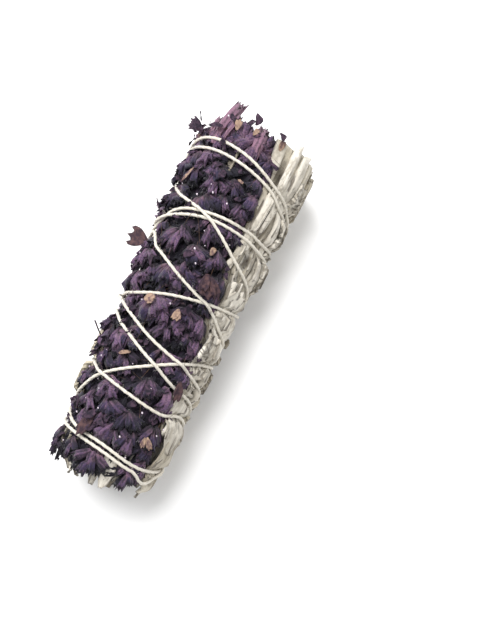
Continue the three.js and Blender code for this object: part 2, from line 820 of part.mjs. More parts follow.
function meshOf(name, solid) {
  const { vertProperties, triVerts } = solid.getMesh();
  const geometry = new THREE.BufferGeometry();
  geometry.setAttribute("position", new THREE.BufferAttribute(vertProperties, 3));
  geometry.setIndex(new THREE.BufferAttribute(triVerts, 1));
  const mesh = new THREE.Mesh(geometry, MATERIALS[kinds.get(name)]);
  mesh.name = name;
  return mesh;
}

const smudgeStick = new THREE.Group();
smudgeStick.position.set(...MIDDLE).negate();
for (const [name, solid] of pieces) smudgeStick.add(meshOf(name, solid));

export default smudgeStick;
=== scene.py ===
"""Looks of a sage and statice smudge stick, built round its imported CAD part.

The stick lies along X with its cut stem ends towards +X. The form of the bundle is worked out in
millimetres from the middle of the sage, with angles round it measured from +Z towards -Y, and
every mesh is put in the frame, in metres, when it is made.
"""

import json
import math

import bmesh
import bpy
import numpy as np
from bpy.props import FloatProperty, FloatVectorProperty, IntProperty, PointerProperty
from bpy.types import Operator, Panel, PropertyGroup
from mathutils import Matrix, Vector, kdtree, noise

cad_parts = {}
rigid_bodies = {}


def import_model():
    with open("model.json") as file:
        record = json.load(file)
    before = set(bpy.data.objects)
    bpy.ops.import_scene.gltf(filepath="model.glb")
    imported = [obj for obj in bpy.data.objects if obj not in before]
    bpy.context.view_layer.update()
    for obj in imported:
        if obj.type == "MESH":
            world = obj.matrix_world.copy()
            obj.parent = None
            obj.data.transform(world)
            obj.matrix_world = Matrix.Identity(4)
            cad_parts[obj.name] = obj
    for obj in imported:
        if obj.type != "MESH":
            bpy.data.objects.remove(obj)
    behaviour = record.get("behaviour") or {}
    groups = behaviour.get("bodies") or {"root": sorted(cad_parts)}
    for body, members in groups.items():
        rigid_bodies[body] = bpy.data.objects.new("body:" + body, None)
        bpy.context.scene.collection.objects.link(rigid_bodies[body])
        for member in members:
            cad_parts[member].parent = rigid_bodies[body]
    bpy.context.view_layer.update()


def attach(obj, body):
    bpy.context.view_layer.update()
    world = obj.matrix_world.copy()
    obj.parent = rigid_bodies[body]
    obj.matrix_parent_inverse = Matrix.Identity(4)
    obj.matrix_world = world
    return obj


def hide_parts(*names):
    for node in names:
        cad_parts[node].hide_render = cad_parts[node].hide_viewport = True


bl_info = {
    "name": "Smudge Stick",
    "version": (1, 0, 0),
    "blender": (4, 5, 0),
    "location": "3D View > Sidebar > Smudge Stick",
    "description": "A dried sage bundle with statice flowers, bound with cotton twine",
    "category": "Add Mesh",
}

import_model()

MM = 0.001
HALF_LENGTH = 52.0
BIND_RADIUS = 15.6
BIND_SWELL = 1.5
AXIS_DROP = 0.3
BUNDLE_TWIST = math.radians(17)
MIDDLE = 3.4

TWINE_REST_HEIGHT = 0.62
TWINE_THICKNESS = 0.95
LIFT_SLOPE = 0.3
KNOT_PLACE = -35.5
KNOT_ANGLE = math.radians(232)
PRESSED_WIDTH = 0.75
SAGE_BULGE = 1.5
SAGE_REACH = 4.4
NOTCH_REACH = 1.9
STATICE_BULGE = 4.2
STATICE_REACH = 2.9
TIP_TAPER = 2.6
TIP_RANGE = (-45.5, -52)
# Gaps between the twine's underside and the skin: under a strand, and away from it less the bulge
PRESSED_GAP = 0.12
PROUD_GAP = 0.28
FLOOR_GAP = 0.02
# What would sink below the surface is pressed into this height above it, in its order
PRESSED_LAYER = 0.3
PRESSED_SPREAD = 0.5
# How far below the skin the flowers start to be pressed together
PRESS_DEPTH = 0.5
# Sage gets painted shade by its depth below the skin up to the first of these places, and no more past
# the second
SHADED_RANGE = (45, 49)
# A side of the stick faces down where its direction drops by this share of its length
LEAST_DROP = 0.05
# The twine's own last points, which it doesn't climb over, and how far apart crossing strands lie
OWN_POINTS = 30
CROSSING_SPAN = 1.06 * TWINE_THICKNESS

# The twine's route, as in the part's source: each row is one turn, the places along the stick
# where the twine passes the angles of TURN_ANGLES.
TURN_ANGLES = [-80, -40, 0, 40, 80, 180]
TWINE_TURNS = [
    [-38, -42, -43.8, -45.4, -44, -38],
    [-34, -28, -22.3, -16.5, -13, -9],
    [-5, -4.2, -1.8, 0.6, 2.8, 9],
    [14.6, 20.8, 22.4, 22.8, 23.4, 31],
    [39.8, 40.2, 38.5, 36, 33.4, 38],
    [42.6, 43.4, 41.4, 37.8, 35.2, 25.8],
    [17.2, 19.3, 20.8, 20.7, 20.6, 24.7],
    [28.8, 25, 20.6, 14, 10.3, 2],
    [-5.1, -9.5, -14.6, -17.4, -19.6, -22],
    [-23.8, -27, -29.6, -30.8, -29, -35],
    [-41.4, -43.6, -45.3, -46.8, -45.6, -14],
    [13.2, 9, 3.1, -1, -5, -7.4],
    [-9, -13.5, -18.8, -23, -24.5, -31],
]

OUTER_SPRIGS = 7
OUTER_ARC = math.radians(229)
OUTER_START = math.radians(42)
SPRAYS = 4
SPRAY_ARC = 2 * math.pi - OUTER_ARC
SPRAY_START = OUTER_START - SPRAY_ARC


# The form of the bundle


def bind_radius(x):
    return BIND_RADIUS + BIND_SWELL * x / HALF_LENGTH


def spine_height(x):
    return bind_radius(x) - AXIS_DROP


def twist(x):
    return -BUNDLE_TWIST * x / HALF_LENGTH


def place(x, angle, radius):
    """Points at places along the stick, angles round it and distances from its spine."""
    x, angle, radius = np.broadcast_arrays(x, angle, radius)
    side = -radius * np.sin(angle)
    return np.stack([x, side, spine_height(x) + radius * np.cos(angle)], axis=-1)


def polar(points):
    """Place along the stick, angle and radius of points."""
    x = points[..., 0]
    rise = points[..., 2] - spine_height(x)
    return x, np.arctan2(-points[..., 1], rise), np.hypot(points[..., 1], rise)


def radius_above(x, angle, height):
    """The largest radius that keeps a point above a height. The upper side has no limit."""
    down = -np.cos(angle)
    limit = (spine_height(x) - height) / np.maximum(down, LEAST_DROP)
    return np.where(down > LEAST_DROP, limit, np.inf)


def smooth(value, low, high):
    """Rises softly from 0 at one value to 1 at another, which may be the lower one."""
    t = np.clip((value - low) / (high - low), 0, 1)
    return t * t * (3 - 2 * t)


def between(low, high, seed):
    """The repeatable random number of the part's source."""
    wave = np.sin(np.asarray(seed) * 127.1 + 311.7) * 43758.5453
    return low + (high - low) * (wave - np.floor(wave))


def cell_middle(start, arc, count, k):
    """The middle angle of one of several equal cells of an arc."""
    return start + (k + 0.5) * arc / count


def rough(points, scale, seed):
    """Smooth noise from about -1 to 1 at an array of points."""
    flat = np.asarray(points, float).reshape(-1, 3) / scale + 17.3 * seed
    values = [noise.noise(Vector(p)) for p in flat]
    return np.array(values).reshape(np.shape(points)[:-1])


def unrolled_route():
    """The twine's route in the unrolled plane, a point about every millimetre."""
    flat = [(KNOT_PLACE, (KNOT_ANGLE - 2 * math.pi) * BIND_RADIUS)]
    for n, turn in enumerate(TWINE_TURNS):
        for degrees, x in zip(TURN_ANGLES, turn):
            flat.append((x, math.radians(degrees + 360 * n) * BIND_RADIUS))
    last = KNOT_ANGLE + 2 * math.pi * (len(TWINE_TURNS) - 1)
    flat.append((KNOT_PLACE, last * BIND_RADIUS))
    p = np.array(flat)
    p = np.vstack([2 * p[0] - p[1], p, 2 * p[-1] - p[-2]])
    t = np.linspace(0, 1, 51)[:-1, None]
    fine = []
    for before, a, b, after in zip(p, p[1:], p[2:], p[3:]):
        lead, trail = 0.5 * (b - before), 0.5 * (after - a)
        bend = -3 * a + 3 * b - 2 * lead - trail
        fine.append(a + lead * t + bend * t**2 + (2 * a - 2 * b + lead + trail) * t**3)
    fine = np.vstack([*fine, p[-2]])
    run = np.concatenate([[0], np.cumsum(np.linalg.norm(np.diff(fine, axis=0), axis=1))])
    at = np.linspace(0, run[-1], round(run[-1]) + 1)
    return np.stack([np.interp(at, run, fine[:, i]) for i in (0, 1)], axis=-1)


def twine_course():
    """Place, angle and lift of every point of the twine. It climbs over strands laid before."""
    route = unrolled_route()
    x, angle = route[:, 0], route[:, 1] / BIND_RADIUS
    lift = np.zeros(len(x))
    spread = math.ceil(3 * CROSSING_SPAN / LIFT_SLOPE)
    for i in range(OWN_POINTS + 1, len(x)):
        before = slice(0, i - OWN_POINTS)
        turn = angle[before] - angle[i]
        turn -= 2 * math.pi * np.round(turn / (2 * math.pi))
        gap = np.hypot(x[before] - x[i], turn * BIND_RADIUS)
        near = gap < CROSSING_SPAN
        if not near.any():
            continue
        climb = (lift[before][near] + np.sqrt(CROSSING_SPAN**2 - gap[near] ** 2)).max()
        k = np.arange(max(0, i - spread), min(len(x), i + spread))
        lift[k] = np.maximum(lift[k], climb - LIFT_SLOPE * abs(k - i))
    return x, angle, lift


COURSE = twine_course()


class TwineMap:
    """Distance from every place of the unrolled surface to the twine."""

    STEP = 0.25
    REACH = 66.0

    def __init__(self):
        x, angle, _ = COURSE
        around = 2 * math.pi * BIND_RADIUS
        arc = (angle * BIND_RADIUS) % around
        tree = kdtree.KDTree(3 * len(x))
        for i, (a, b) in enumerate(zip(x, arc)):
            for turn in (-1, 0, 1):
                tree.insert((a, b + turn * around, 0), 3 * i + turn + 1)
        tree.balance()
        self.columns = int(2 * self.REACH / self.STEP) + 1
        self.rows = round(around / self.STEP)
        self.values = np.array(
            [
                [
                    tree.find((c * self.STEP - self.REACH, r / self.rows * around, 0))[2]
                    for c in range(self.columns)
                ]
                for r in range(self.rows)
            ]
        )

    def at(self, x, angle):
        column = np.clip((x + self.REACH) / self.STEP, 0, self.columns - 1.001)
        row = (angle / (2 * math.pi) % 1) * self.rows
        c, r = column.astype(int), row.astype(int)
        fc, fr = column - c, row - r
        r, below = r % self.rows, (r + 1) % self.rows
        v = self.values
        upper = v[r, c] * (1 - fc) + v[r, c + 1] * fc
        lower = v[below, c] * (1 - fc) + v[below, c + 1] * fc
        return upper * (1 - fr) + lower * fr


TWINE_MAP = TwineMap()


def skin_radius(x, angle, bulge=SAGE_BULGE, sink=0.0, reach=SAGE_REACH):
    """Radius of the stick's skin: pressed in under the twine and proud between its strands.

    The reach is the distance from the twine at which it has risen by the whole bulge."""
    x, angle = np.broadcast_arrays(np.asarray(x, float), np.asarray(angle, float))
    near = TWINE_MAP.at(x, angle)
    lowest = radius_above(x, angle, TWINE_REST_HEIGHT)
    pressed = np.minimum(bind_radius(x), lowest) - TWINE_THICKNESS / 2 - PRESSED_GAP
    proud = bind_radius(x) - TWINE_THICKNESS / 2 - PROUD_GAP + bulge
    proud = proud - TIP_TAPER * smooth(x, *TIP_RANGE)
    risen = pressed + (proud - pressed) * smooth(near, PRESSED_WIDTH, reach)
    return np.minimum(risen - sink, radius_above(x, angle, FLOOR_GAP))


def pressed_in(points, bulge):
    """Points kept under the stick's skin, pressed together as they come near it."""
    x, angle, radius = polar(points)
    limit = skin_radius(x, angle, bulge, 0, STATICE_REACH)
    over = np.maximum(radius - (limit - PRESS_DEPTH), 0)
    pressed = limit - PRESS_DEPTH + PRESS_DEPTH * (1 - np.exp(-over / PRESS_DEPTH))
    return place(x, angle, np.where(over > 0, pressed, radius))


# Meshes


def in_frame(points):
    """Points of the stick in the frame, in metres."""
    return (points - [MIDDLE, 0, 0]) * MM


def new_object(name, data):
    thing = bpy.data.objects.new(name, data)
    bpy.context.scene.collection.objects.link(thing)
    return thing


def store_values(mesh, name, values):
    stored = mesh.attributes.new(name, "FLOAT", "POINT")
    stored.data.foreach_set("value", np.asarray(values).astype(np.float32))


def turn_outwards(mesh):
    turned = bmesh.new()
    turned.from_mesh(mesh)
    bmesh.ops.recalc_face_normals(turned, faces=turned.faces)
    turned.to_mesh(mesh)
    turned.free()


class Shapes:
    """Vertices, faces and vertex values of many shapes that become one mesh."""

    def __init__(self, *values):
        self.points, self.faces = [], []
        self.count = 0
        self.values = {name: [] for name in values}

    def add(self, points, faces, **values):
        points = np.asarray(points, float).reshape(-1, 3)
        self.points.append(points)
        self.faces += [tuple(int(i) + self.count for i in face) for face in faces]
        for name, kept in self.values.items():
            value = np.broadcast_to(np.asarray(values.get(name, 0.0), float).ravel(), len(points))
            kept.append(value)
        self.count += len(points)

    def tube(self, rings, inner=None, **values):
        """Rings of points closed at both ends, the last of them at an inner point if given."""
        rings = np.asarray(rings)
        stations, sides = rings.shape[:2]
        ends = np.array([rings[0].mean(axis=0), rings[-1].mean(axis=0) if inner is None else inner])
        index = np.arange(stations * sides).reshape(stations, sides)
        after = np.roll(index, -1, axis=1)
        faces = np.stack([index[:-1], after[:-1], after[1:], index[1:]], axis=-1)
        faces = faces.reshape(-1, 4).tolist()
        first, last = stations * sides, stations * sides + 1
        faces += [(a, first, b) for a, b in zip(index[0], after[0])]
        faces += [(b, last, a) for a, b in zip(index[-1], after[-1])]
        spread = {}
        for name, value in values.items():
            value = np.asarray(value, float)
            if value.ndim:
                value = np.broadcast_to(value.reshape(stations, -1), (stations, sides))
                value = np.append(value.ravel(), [value[0].mean(), value[-1].mean()])
            spread[name] = value
        self.add(np.vstack([rings.reshape(-1, 3), ends]), faces, **spread)

    def sheet(self, grid, thickness, **values):
        """A closed thin sheet under a grid of points."""
        m, n = grid.shape[:2]
        normal = np.cross(np.gradient(grid, axis=0), np.gradient(grid, axis=1))
        normal /= np.maximum(np.linalg.norm(normal, axis=2, keepdims=True), 1e-9)
        outward = place(grid[..., 0], polar(grid)[1], polar(grid)[2] + 1) - grid
        mean_sign = np.sign((normal * outward).sum(axis=2).mean()) or 1
        low = grid - mean_sign * normal * np.asarray(thickness)[..., None]
        index = np.arange(m * n).reshape(m, n)
        top = np.stack([index[:-1, :-1], index[:-1, 1:], index[1:, 1:], index[1:, :-1]], -1)
        top = top.reshape(-1, 4)
        rim = np.concatenate([index[0, :-1], index[:-1, -1], index[-1, :0:-1], index[:0:-1, 0]])
        beyond = np.roll(rim, -1)
        side = np.stack([beyond, rim, rim + m * n, beyond + m * n], -1)
        faces = np.vstack([top, top[:, ::-1] + m * n, side]).tolist()
        doubled = {}
        for name, value in values.items():
            value = np.broadcast_to(np.asarray(value, float), (m, n)).ravel()
            doubled[name] = np.concatenate([value, value])
        self.add(np.vstack([grid.reshape(-1, 3), low.reshape(-1, 3)]), faces, **doubled)

    def piece(self, name, material):
        """One mesh object in the frame, with its faces turned outwards."""
        points = np.vstack(self.points)
        # Depth below the skin, which the sage's material turns into painted shade
        if "depth" in self.values:
            x, angle, radius = polar(points)
            inside = 1 - smooth(np.abs(x), *SHADED_RANGE)
            self.values["depth"] = [(skin_radius(x, angle) - radius) * inside]
        sunk = PRESSED_LAYER * np.exp((points[:, 2] - PRESSED_LAYER) / PRESSED_SPREAD)
        points[:, 2] = np.where(points[:, 2] < PRESSED_LAYER, sunk, points[:, 2])
        mesh = bpy.data.meshes.new(name)
        mesh.from_pydata(in_frame(points).tolist(), [], self.faces)
        for label, kept in self.values.items():
            store_values(mesh, label, np.concatenate(kept))
        turn_outwards(mesh)
        mesh.shade_smooth()
        mesh.materials.append(material)
        return new_object(name, mesh)


def ring(centres, sides, radii, across, up, lobes=0, depth=0.0, seed=0.0):
    """Rings of points round centres; lobes and their depth make the section fluted."""
    turn = np.linspace(0, 2 * math.pi, sides, endpoint=False)
    size = np.asarray(radii)[:, None] * (1 + depth * np.cos(lobes * turn + seed)[None])
    return (
        np.asarray(centres)[:, None]
        + (size * np.cos(turn))[..., None] * np.asarray(across)[:, None]
        + (size * np.sin(turn))[..., None] * np.asarray(up)[:, None]
    )


# Node trees


class Value:
    """A number socket. Python's operators on it add Math nodes."""

    def __init__(self, graph, socket):
        self.graph, self.socket = graph, socket

    def math(self, operation, first, second=None):
        inputs = {0: first} if second is None else {0: first, 1: second}
        node = self.graph.add("ShaderNodeMath", {"operation": operation}, inputs)
        return self.graph.value(node)

    def __add__(self, other):
        return self.math("ADD", self, other)

    def __radd__(self, other):
        return self.math("ADD", other, self)

    def __sub__(self, other):
        return self.math("SUBTRACT", self, other)

    def __rsub__(self, other):
        return self.math("SUBTRACT", other, self)

    def __mul__(self, other):
        return self.math("MULTIPLY", self, other)

    def __rmul__(self, other):
        return self.math("MULTIPLY", other, self)

    def __truediv__(self, other):
        return self.math("DIVIDE", self, other)

    def __pow__(self, other):
        return self.math("POWER", self, other)

    def sine(self):
        return self.math("SINE", self)


class Graph:
    """A shader or geometry node tree that is written as calls."""

    def __init__(self, tree):
        self.tree = tree

    def add(self, kind, settings=None, inputs=None):
        """A node of a type, with its settings first and then its sockets' values or links."""
        node = self.tree.nodes.new(kind)
        for name, value in (settings or {}).items():
            if name == "stops":
                self.set_stops(node, value)
            else:
                setattr(node, name, value)
        for name, value in (inputs or {}).items():
            self.set_input(node.inputs[name], value)
        return node

    def set_input(self, socket, value):
        if isinstance(value, Value):
            value = value.socket
        if isinstance(value, bpy.types.Node):
            value = value.outputs[0]
        if isinstance(value, bpy.types.NodeSocket):
            self.tree.links.new(value, socket)
        else:
            socket.default_value = value

    def set_stops(self, node, stops):
        elements = node.color_ramp.elements
        while len(elements) < len(stops):
            elements.new(0.5)
        for element, (position, colour) in zip(elements, stops):
            element.position = position
            element.color = (*colour, 1)

    def value(self, node, output=0):
        return Value(self, node.outputs[output])

    def smooth_step(self, value, low, high):
        settings = {"interpolation_type": "SMOOTHSTEP"}
        inputs = {"Value": value, "From Min": low, "From Max": high}
        return self.value(self.add("ShaderNodeMapRange", settings, inputs))

    def noise(self, where, scale, detail=4.0, stretch=None):
        """A noise texture's number, on coordinates that may be stretched."""
        if stretch:
            where = self.add("ShaderNodeMapping", None, {"Vector": where, "Scale": stretch})
        inputs = {"Vector": where, "Scale": scale, "Detail": detail}
        return self.value(self.add("ShaderNodeTexNoise", None, inputs))

    def blend(self, factor, first, second, kind="MIX"):
        """A Mix node on two colours."""
        settings = {"data_type": "RGBA", "blend_type": kind}
        node = self.add("ShaderNodeMix", settings)
        self.set_input(node.inputs[0], factor)
        for socket, colour in ((node.inputs[6], first), (node.inputs[7], second)):
            self.set_input(socket, (*colour, 1) if isinstance(colour, tuple) else colour)
        return node.outputs[2]


def rgb(red, green, blue):
    """A linear colour from its usual 0 to 255 numbers."""
    return tuple(
        (c / 255 / 12.92) if c < 11 else ((c / 255 + 0.055) / 1.055) ** 2.4
        for c in (red, green, blue)
    )


SAGE_CREASE = rgb(118, 108, 92)
SAGE_CRACK = rgb(88, 78, 66)
SAGE_FOLD = rgb(88, 79, 66)
SAGE_RIM = rgb(110, 100, 84)
SAGE_HOLLOW_SHADE = rgb(58, 50, 42)
SAGE_SPECK = rgb(62, 52, 44)
INNER_LEAF, INNER_SHADE = rgb(122, 111, 94), rgb(48, 41, 35)
# The bed under the flowers stands for the sprays' crowded inside, painted near black as its shade
BED_BROWN, BED_SHADE = rgb(58, 44, 62), rgb(16, 14, 22)
BARK, BARK_GROOVE = rgb(186, 172, 146), rgb(128, 112, 90)
WOOD, WOOD_PORE = rgb(196, 183, 155), rgb(160, 143, 115)
PITH, PITH_PORE = rgb(150, 126, 100), rgb(92, 76, 62)
STATICE_BROWN = rgb(138, 108, 100)
STATICE_SHADE = rgb(32, 27, 44)
STATICE_GROOVE_SHADE = rgb(20, 16, 28)
STATICE_HOLLOW_SHADE = rgb(15, 13, 25)
COTTON_FIBRE = rgb(206, 198, 180)
COTTON_SOIL = rgb(214, 204, 182)
FLOOR_WHITE, FLOOR_GRAIN = rgb(250, 250, 250), rgb(246, 246, 247)


def surface(name, roughness=0.9, sheen=0.0):
    """A new material's graph, its shader and its Object coordinates."""
    material = bpy.data.materials.new(name)
    material.use_nodes = True
    graph = Graph(material.node_tree)
    shader = next(n for n in material.node_tree.nodes if n.type == "BSDF_PRINCIPLED")
    shader.inputs["Roughness"].default_value = roughness
    shader.inputs["Specular IOR Level"].default_value = 0.3
    shader.inputs["Sheen Weight"].default_value = sheen
    where = graph.add("ShaderNodeTexCoord").outputs["Object"]
    return material, graph, shader, where


def raised(graph, shader, height, distance):
    """A bump on a material. The distance, in metres, is how high it stands."""
    inputs = {"Height": height, "Distance": distance, "Strength": 1.0}
    bump = graph.add("ShaderNodeBump", None, inputs)
    graph.set_input(shader.inputs["Normal"], bump)


def attribute(graph, name):
    node = graph.add("ShaderNodeAttribute", {"attribute_name": name})
    return graph.value(node, "Fac")


def sage_material(settings):
    material, graph, shader, where = surface("felted_sage", 0.92, 0.25)
    tone = attribute(graph, "tone")
    edge = attribute(graph, "edge")
    swirl = attribute(graph, "swirl")
    depth = attribute(graph, "depth")
    grain = graph.noise(where, 900, 5, (0.28, 1.0, 1.0))
    blotch = graph.noise(where, 160, 4, (0.4, 1, 1))
    veins = graph.noise(where, 420, 6, (0.5, 1, 1))
    cracks = graph.noise(where, 620, 3, (0.07, 1, 1))
    folds = graph.noise(where, 240, 0.6)
    speck = graph.noise(where, 1500, 2)
    pale, dark = tuple(settings.pale), tuple(settings.dark)
    colour = graph.blend(graph.smooth_step(blotch + tone * 0.4, 0.45, 0.95), pale, dark)
    warm = graph.smooth_step(tone, 0.6, 1.0) * 0.7
    colour = graph.blend(warm, colour, tuple(settings.straw))
    crease = graph.smooth_step(veins, 0.5, 0.62) * graph.smooth_step(veins, 0.74, 0.6)
    colour = graph.blend(crease * 0.5, colour, SAGE_CREASE)
    crack = graph.smooth_step(cracks, 0.57, 0.64) * graph.smooth_step(blotch, 0.38, 0.52)
    colour = graph.blend(crack * 0.8, colour, SAGE_CRACK)
    rings = graph.smooth_step((folds * 40).sine(), 0.2, 0.95)
    colour = graph.blend(rings * swirl * 0.6, colour, SAGE_FOLD)
    rim = graph.smooth_step(edge + (blotch - 0.5) * 0.8, 0.35, 1.0)
    colour = graph.blend(rim * 0.4, colour, SAGE_RIM)
    # Painted shade: the deeper a leaf lies below the skin, the darker it is painted
    hollow_shade = graph.smooth_step(depth + (blotch - 0.5) * 1.5, 0.3, 1.7) * 0.8
    colour = graph.blend(hollow_shade, colour, SAGE_HOLLOW_SHADE)
    colour = graph.blend(graph.smooth_step(speck, 0.68, 0.74) * 0.85, colour, SAGE_SPECK)
    graph.set_input(shader.inputs["Base Color"], colour)
    heights = grain * 0.5 + veins * 0.8 + blotch * 0.8 - crack * 0.6 - rings * swirl * 0.5
    raised(graph, shader, heights, 0.0006)
    return material


def inner_material():
    material, graph, shader, where = surface("shaded_inner_leaves", 0.95)
    patches = graph.noise(where, 260, 5, (0.4, 1, 1))
    colour = graph.blend(graph.smooth_step(patches, 0.35, 0.7), INNER_SHADE, INNER_LEAF)
    graph.set_input(shader.inputs["Base Color"], colour)
    raised(graph, shader, patches, 0.0012)
    return material


# The sprays' inside under the flowers, a crumpled sheet painted near black: painted shade where the
# gaps between the calyces look in
def shaded_thicket_material():
    material, graph, shader, where = surface("painted_shade_statice_bed", 0.9)
    patches = graph.noise(where, 420, 6)
    colour = graph.blend(graph.smooth_step(patches, 0.4, 0.75), BED_SHADE, BED_BROWN)
    graph.set_input(shader.inputs["Base Color"], colour)
    raised(graph, shader, patches, 0.0012)
    return material


def stem_material():
    material, graph, shader, where = surface("dry_stem", 0.85)
    pith = attribute(graph, "pith")
    fibres = graph.noise(where, 700, 5, (0.1, 1, 1))
    pores = graph.noise(where, 1300, 3)
    bark = graph.blend(graph.smooth_step(fibres, 0.35, 0.7), BARK, BARK_GROOVE)
    wood = graph.blend(graph.smooth_step(pores, 0.3, 0.7), WOOD, WOOD_PORE)
    heart = graph.blend(graph.smooth_step(pores, 0.4, 0.65), PITH, PITH_PORE)
    colour = graph.blend(graph.smooth_step(pith, 0.2, 0.4), bark, wood)
    colour = graph.blend(graph.smooth_step(pith, 0.6, 0.8), colour, heart)
    graph.set_input(shader.inputs["Base Color"], colour)
    raised(graph, shader, fibres + pores * 0.4, 0.0004)
    return material


def statice_material(settings):
    material, graph, shader, where = surface("dried_statice", 0.72, 0.15)
    along = attribute(graph, "along")
    rib = attribute(graph, "rib")
    tone = attribute(graph, "tone")
    fleck = graph.noise(where, 700, 5)
    fine = graph.noise(where, 2200, 3)
    mouth, body, base = (tuple(c) for c in (settings.mouth, settings.body, settings.base))
    run = along + (fleck - 0.5) * 0.5
    colour = graph.blend(graph.smooth_step(run, 0.25, 0.7), base, body)
    colour = graph.blend(graph.smooth_step(run, 0.6, 1.0), colour, mouth)
    # Tone makes a calyx pinker, paler or darker: partly its own random tone, partly painted light and
    # shade, as the upper tier gets higher tones and the lower tier and the calyces in the gaps lower
    # ones
    pinker = graph.smooth_step(tone, 0.45, 1.0) * 0.75
    colour = graph.blend(pinker, colour, tuple(settings.pink))
    brown = graph.smooth_step(fleck, 0.52, 0.7) * graph.smooth_step(run, 0.6, 0.2)
    colour = graph.blend(brown * 0.6, colour, STATICE_BROWN)
    darker = graph.smooth_step(tone, 0.45, -0.1) * 0.75
    colour = graph.blend(darker, colour, STATICE_SHADE)
    fresher = graph.smooth_step(tone, 0.87, 1.0) * 0.8
    colour = graph.blend(fresher, colour, tuple(settings.fresh))
    # Painted shade in the grooves between the ribs and a painted pink highlight on the ribs, broken by
    # streaks
    streak = graph.noise(where, 1600, 4, (0.35, 1, 1))
    groove_shade = graph.smooth_step(rib + (streak - 0.5) * 3.0, 0.5, -1.4)
    colour = graph.blend(groove_shade * 0.7, colour, STATICE_GROOVE_SHADE)
    lit = graph.smooth_step(rib * 0.7 + (streak - 0.5) * 3.6, 0.5, 1.4) * 0.55
    colour = graph.blend(lit, colour, tuple(settings.pink))
    paler = graph.smooth_step(fine + (tone - 0.5) * 0.3, 0.6, 0.72) * 0.4
    colour = graph.blend(paler, colour, tuple(settings.fresh))
    # Painted shade: the deeper a calyx lies below the flowers' surface, the darker it is painted
    hollow_shade = graph.smooth_step(attribute(graph, "depth"), 0.3, 2.1) * 0.92
    colour = graph.blend(hollow_shade, colour, STATICE_HOLLOW_SHADE)
    graph.set_input(shader.inputs["Base Color"], colour)
    raised(graph, shader, fleck * 0.7 + fine * 0.4 + rib * 0.15, 0.0006)
    return material


def cotton_material(settings):
    material, graph, shader, where = surface("cotton_twine", 0.9, 0.3)
    fibres = graph.noise(where, 2600, 4)
    soil = graph.noise(where, 120, 3)
    pale = tuple(settings.colour)
    colour = graph.blend(graph.smooth_step(fibres, 0.35, 0.75) * 0.5, pale, COTTON_FIBRE)
    colour = graph.blend(graph.smooth_step(soil, 0.55, 0.8) * 0.4, colour, COTTON_SOIL)
    graph.set_input(shader.inputs["Base Color"], colour)
    raised(graph, shader, fibres, 0.0002)
    return material


def bits_material(name, first, second):
    material, graph, shader, where = surface(name, 0.85)
    patches = graph.noise(where, 900, 4)
    colour = graph.blend(graph.smooth_step(patches, 0.35, 0.7), first, second)
    graph.set_input(shader.inputs["Base Color"], colour)
    raised(graph, shader, patches, 0.0003)
    return material


# Geometry node trees


def geometry_tree(name, inputs):
    """A geometry tree with a geometry input, named inputs and a geometry output."""
    tree = bpy.data.node_groups.new(name, "GeometryNodeTree")
    tree.interface.new_socket("Geometry", in_out="INPUT", socket_type="NodeSocketGeometry")
    for label, kind in inputs.items():
        tree.interface.new_socket(label, in_out="INPUT", socket_type=kind)
    tree.interface.new_socket("Geometry", in_out="OUTPUT", socket_type="NodeSocketGeometry")
    graph = Graph(tree)
    return graph, graph.add("NodeGroupInput"), graph.add("NodeGroupOutput")


def run_tree(thing, graph, values, name):
    """The plain mesh object that a tree makes of an object, which is then removed."""
    modifier = thing.modifiers.new("build", "NODES")
    modifier.node_group = graph.tree
    for item in graph.tree.interface.items_tree:
        if item.in_out == "INPUT" and item.name in values:
            modifier[item.identifier] = values[item.name]
    bpy.context.view_layer.update()
    depsgraph = bpy.context.evaluated_depsgraph_get()
    mesh = bpy.data.meshes.new_from_object(thing.evaluated_get(depsgraph), depsgraph=depsgraph)
    thing.modifiers.clear()
    bpy.data.objects.remove(thing)
    return new_object(name, mesh)


PLIES = 3
# Depth of the grooves between the plies and the twine's mean radius, as shares of its radius
PLY_GROOVE = 0.11
PLY_RADIUS = 0.9


def twine_tree():
    """Twisted plies swept along the curves."""
    graph, given, made = geometry_tree(
        "twisted_twine",
        {
            "Thickness": "NodeSocketFloat",
            "Lay": "NodeSocketFloat",
            "Step": "NodeSocketFloat",
            "Sides": "NodeSocketInt",
            "Material": "NodeSocketMaterial",
        },
    )
    steps = graph.add(
        "GeometryNodeResampleCurve",
        {"mode": "LENGTH"},
        {"Curve": given.outputs["Geometry"], "Length": given.outputs["Step"]},
    )
    run = graph.value(graph.add("GeometryNodeSplineParameter"), "Length")
    tilt = run / graph.value(given, "Lay") * (2 * math.pi)
    tilted = graph.add("GeometryNodeSetCurveTilt", None, {"Curve": steps, "Tilt": tilt})
    circle = graph.add(
        "GeometryNodeCurvePrimitiveCircle",
        {"mode": "RADIUS"},
        {"Resolution": given.outputs["Sides"], "Radius": 1.0},
    )
    turn = graph.value(graph.add("GeometryNodeSplineParameter"), "Factor")
    turn = turn * (2 * math.pi * PLIES)
    wave = graph.value(graph.add("ShaderNodeMath", {"operation": "COSINE"}, {0: turn}))
    size = (wave * PLY_GROOVE + PLY_RADIUS) * graph.value(given, "Thickness") * 0.5
    spot = graph.add(
        "ShaderNodeVectorMath",
        {"operation": "SCALE"},
        {0: graph.add("GeometryNodeInputPosition"), "Scale": size},
    )
    fluted = graph.add("GeometryNodeSetPosition", None, {"Geometry": circle, "Position": spot})
    inputs = {"Curve": tilted, "Profile Curve": fluted, "Fill Caps": True}
    swept = graph.add("GeometryNodeCurveToMesh", None, inputs)
    whole = graph.add("GeometryNodeRealizeInstances", None, {"Geometry": swept})
    inputs = {"Geometry": whole, "Material": given.outputs["Material"]}
    painted = graph.add("GeometryNodeSetMaterial", None, inputs)
    graph.set_input(made.inputs["Geometry"], painted)
    return graph


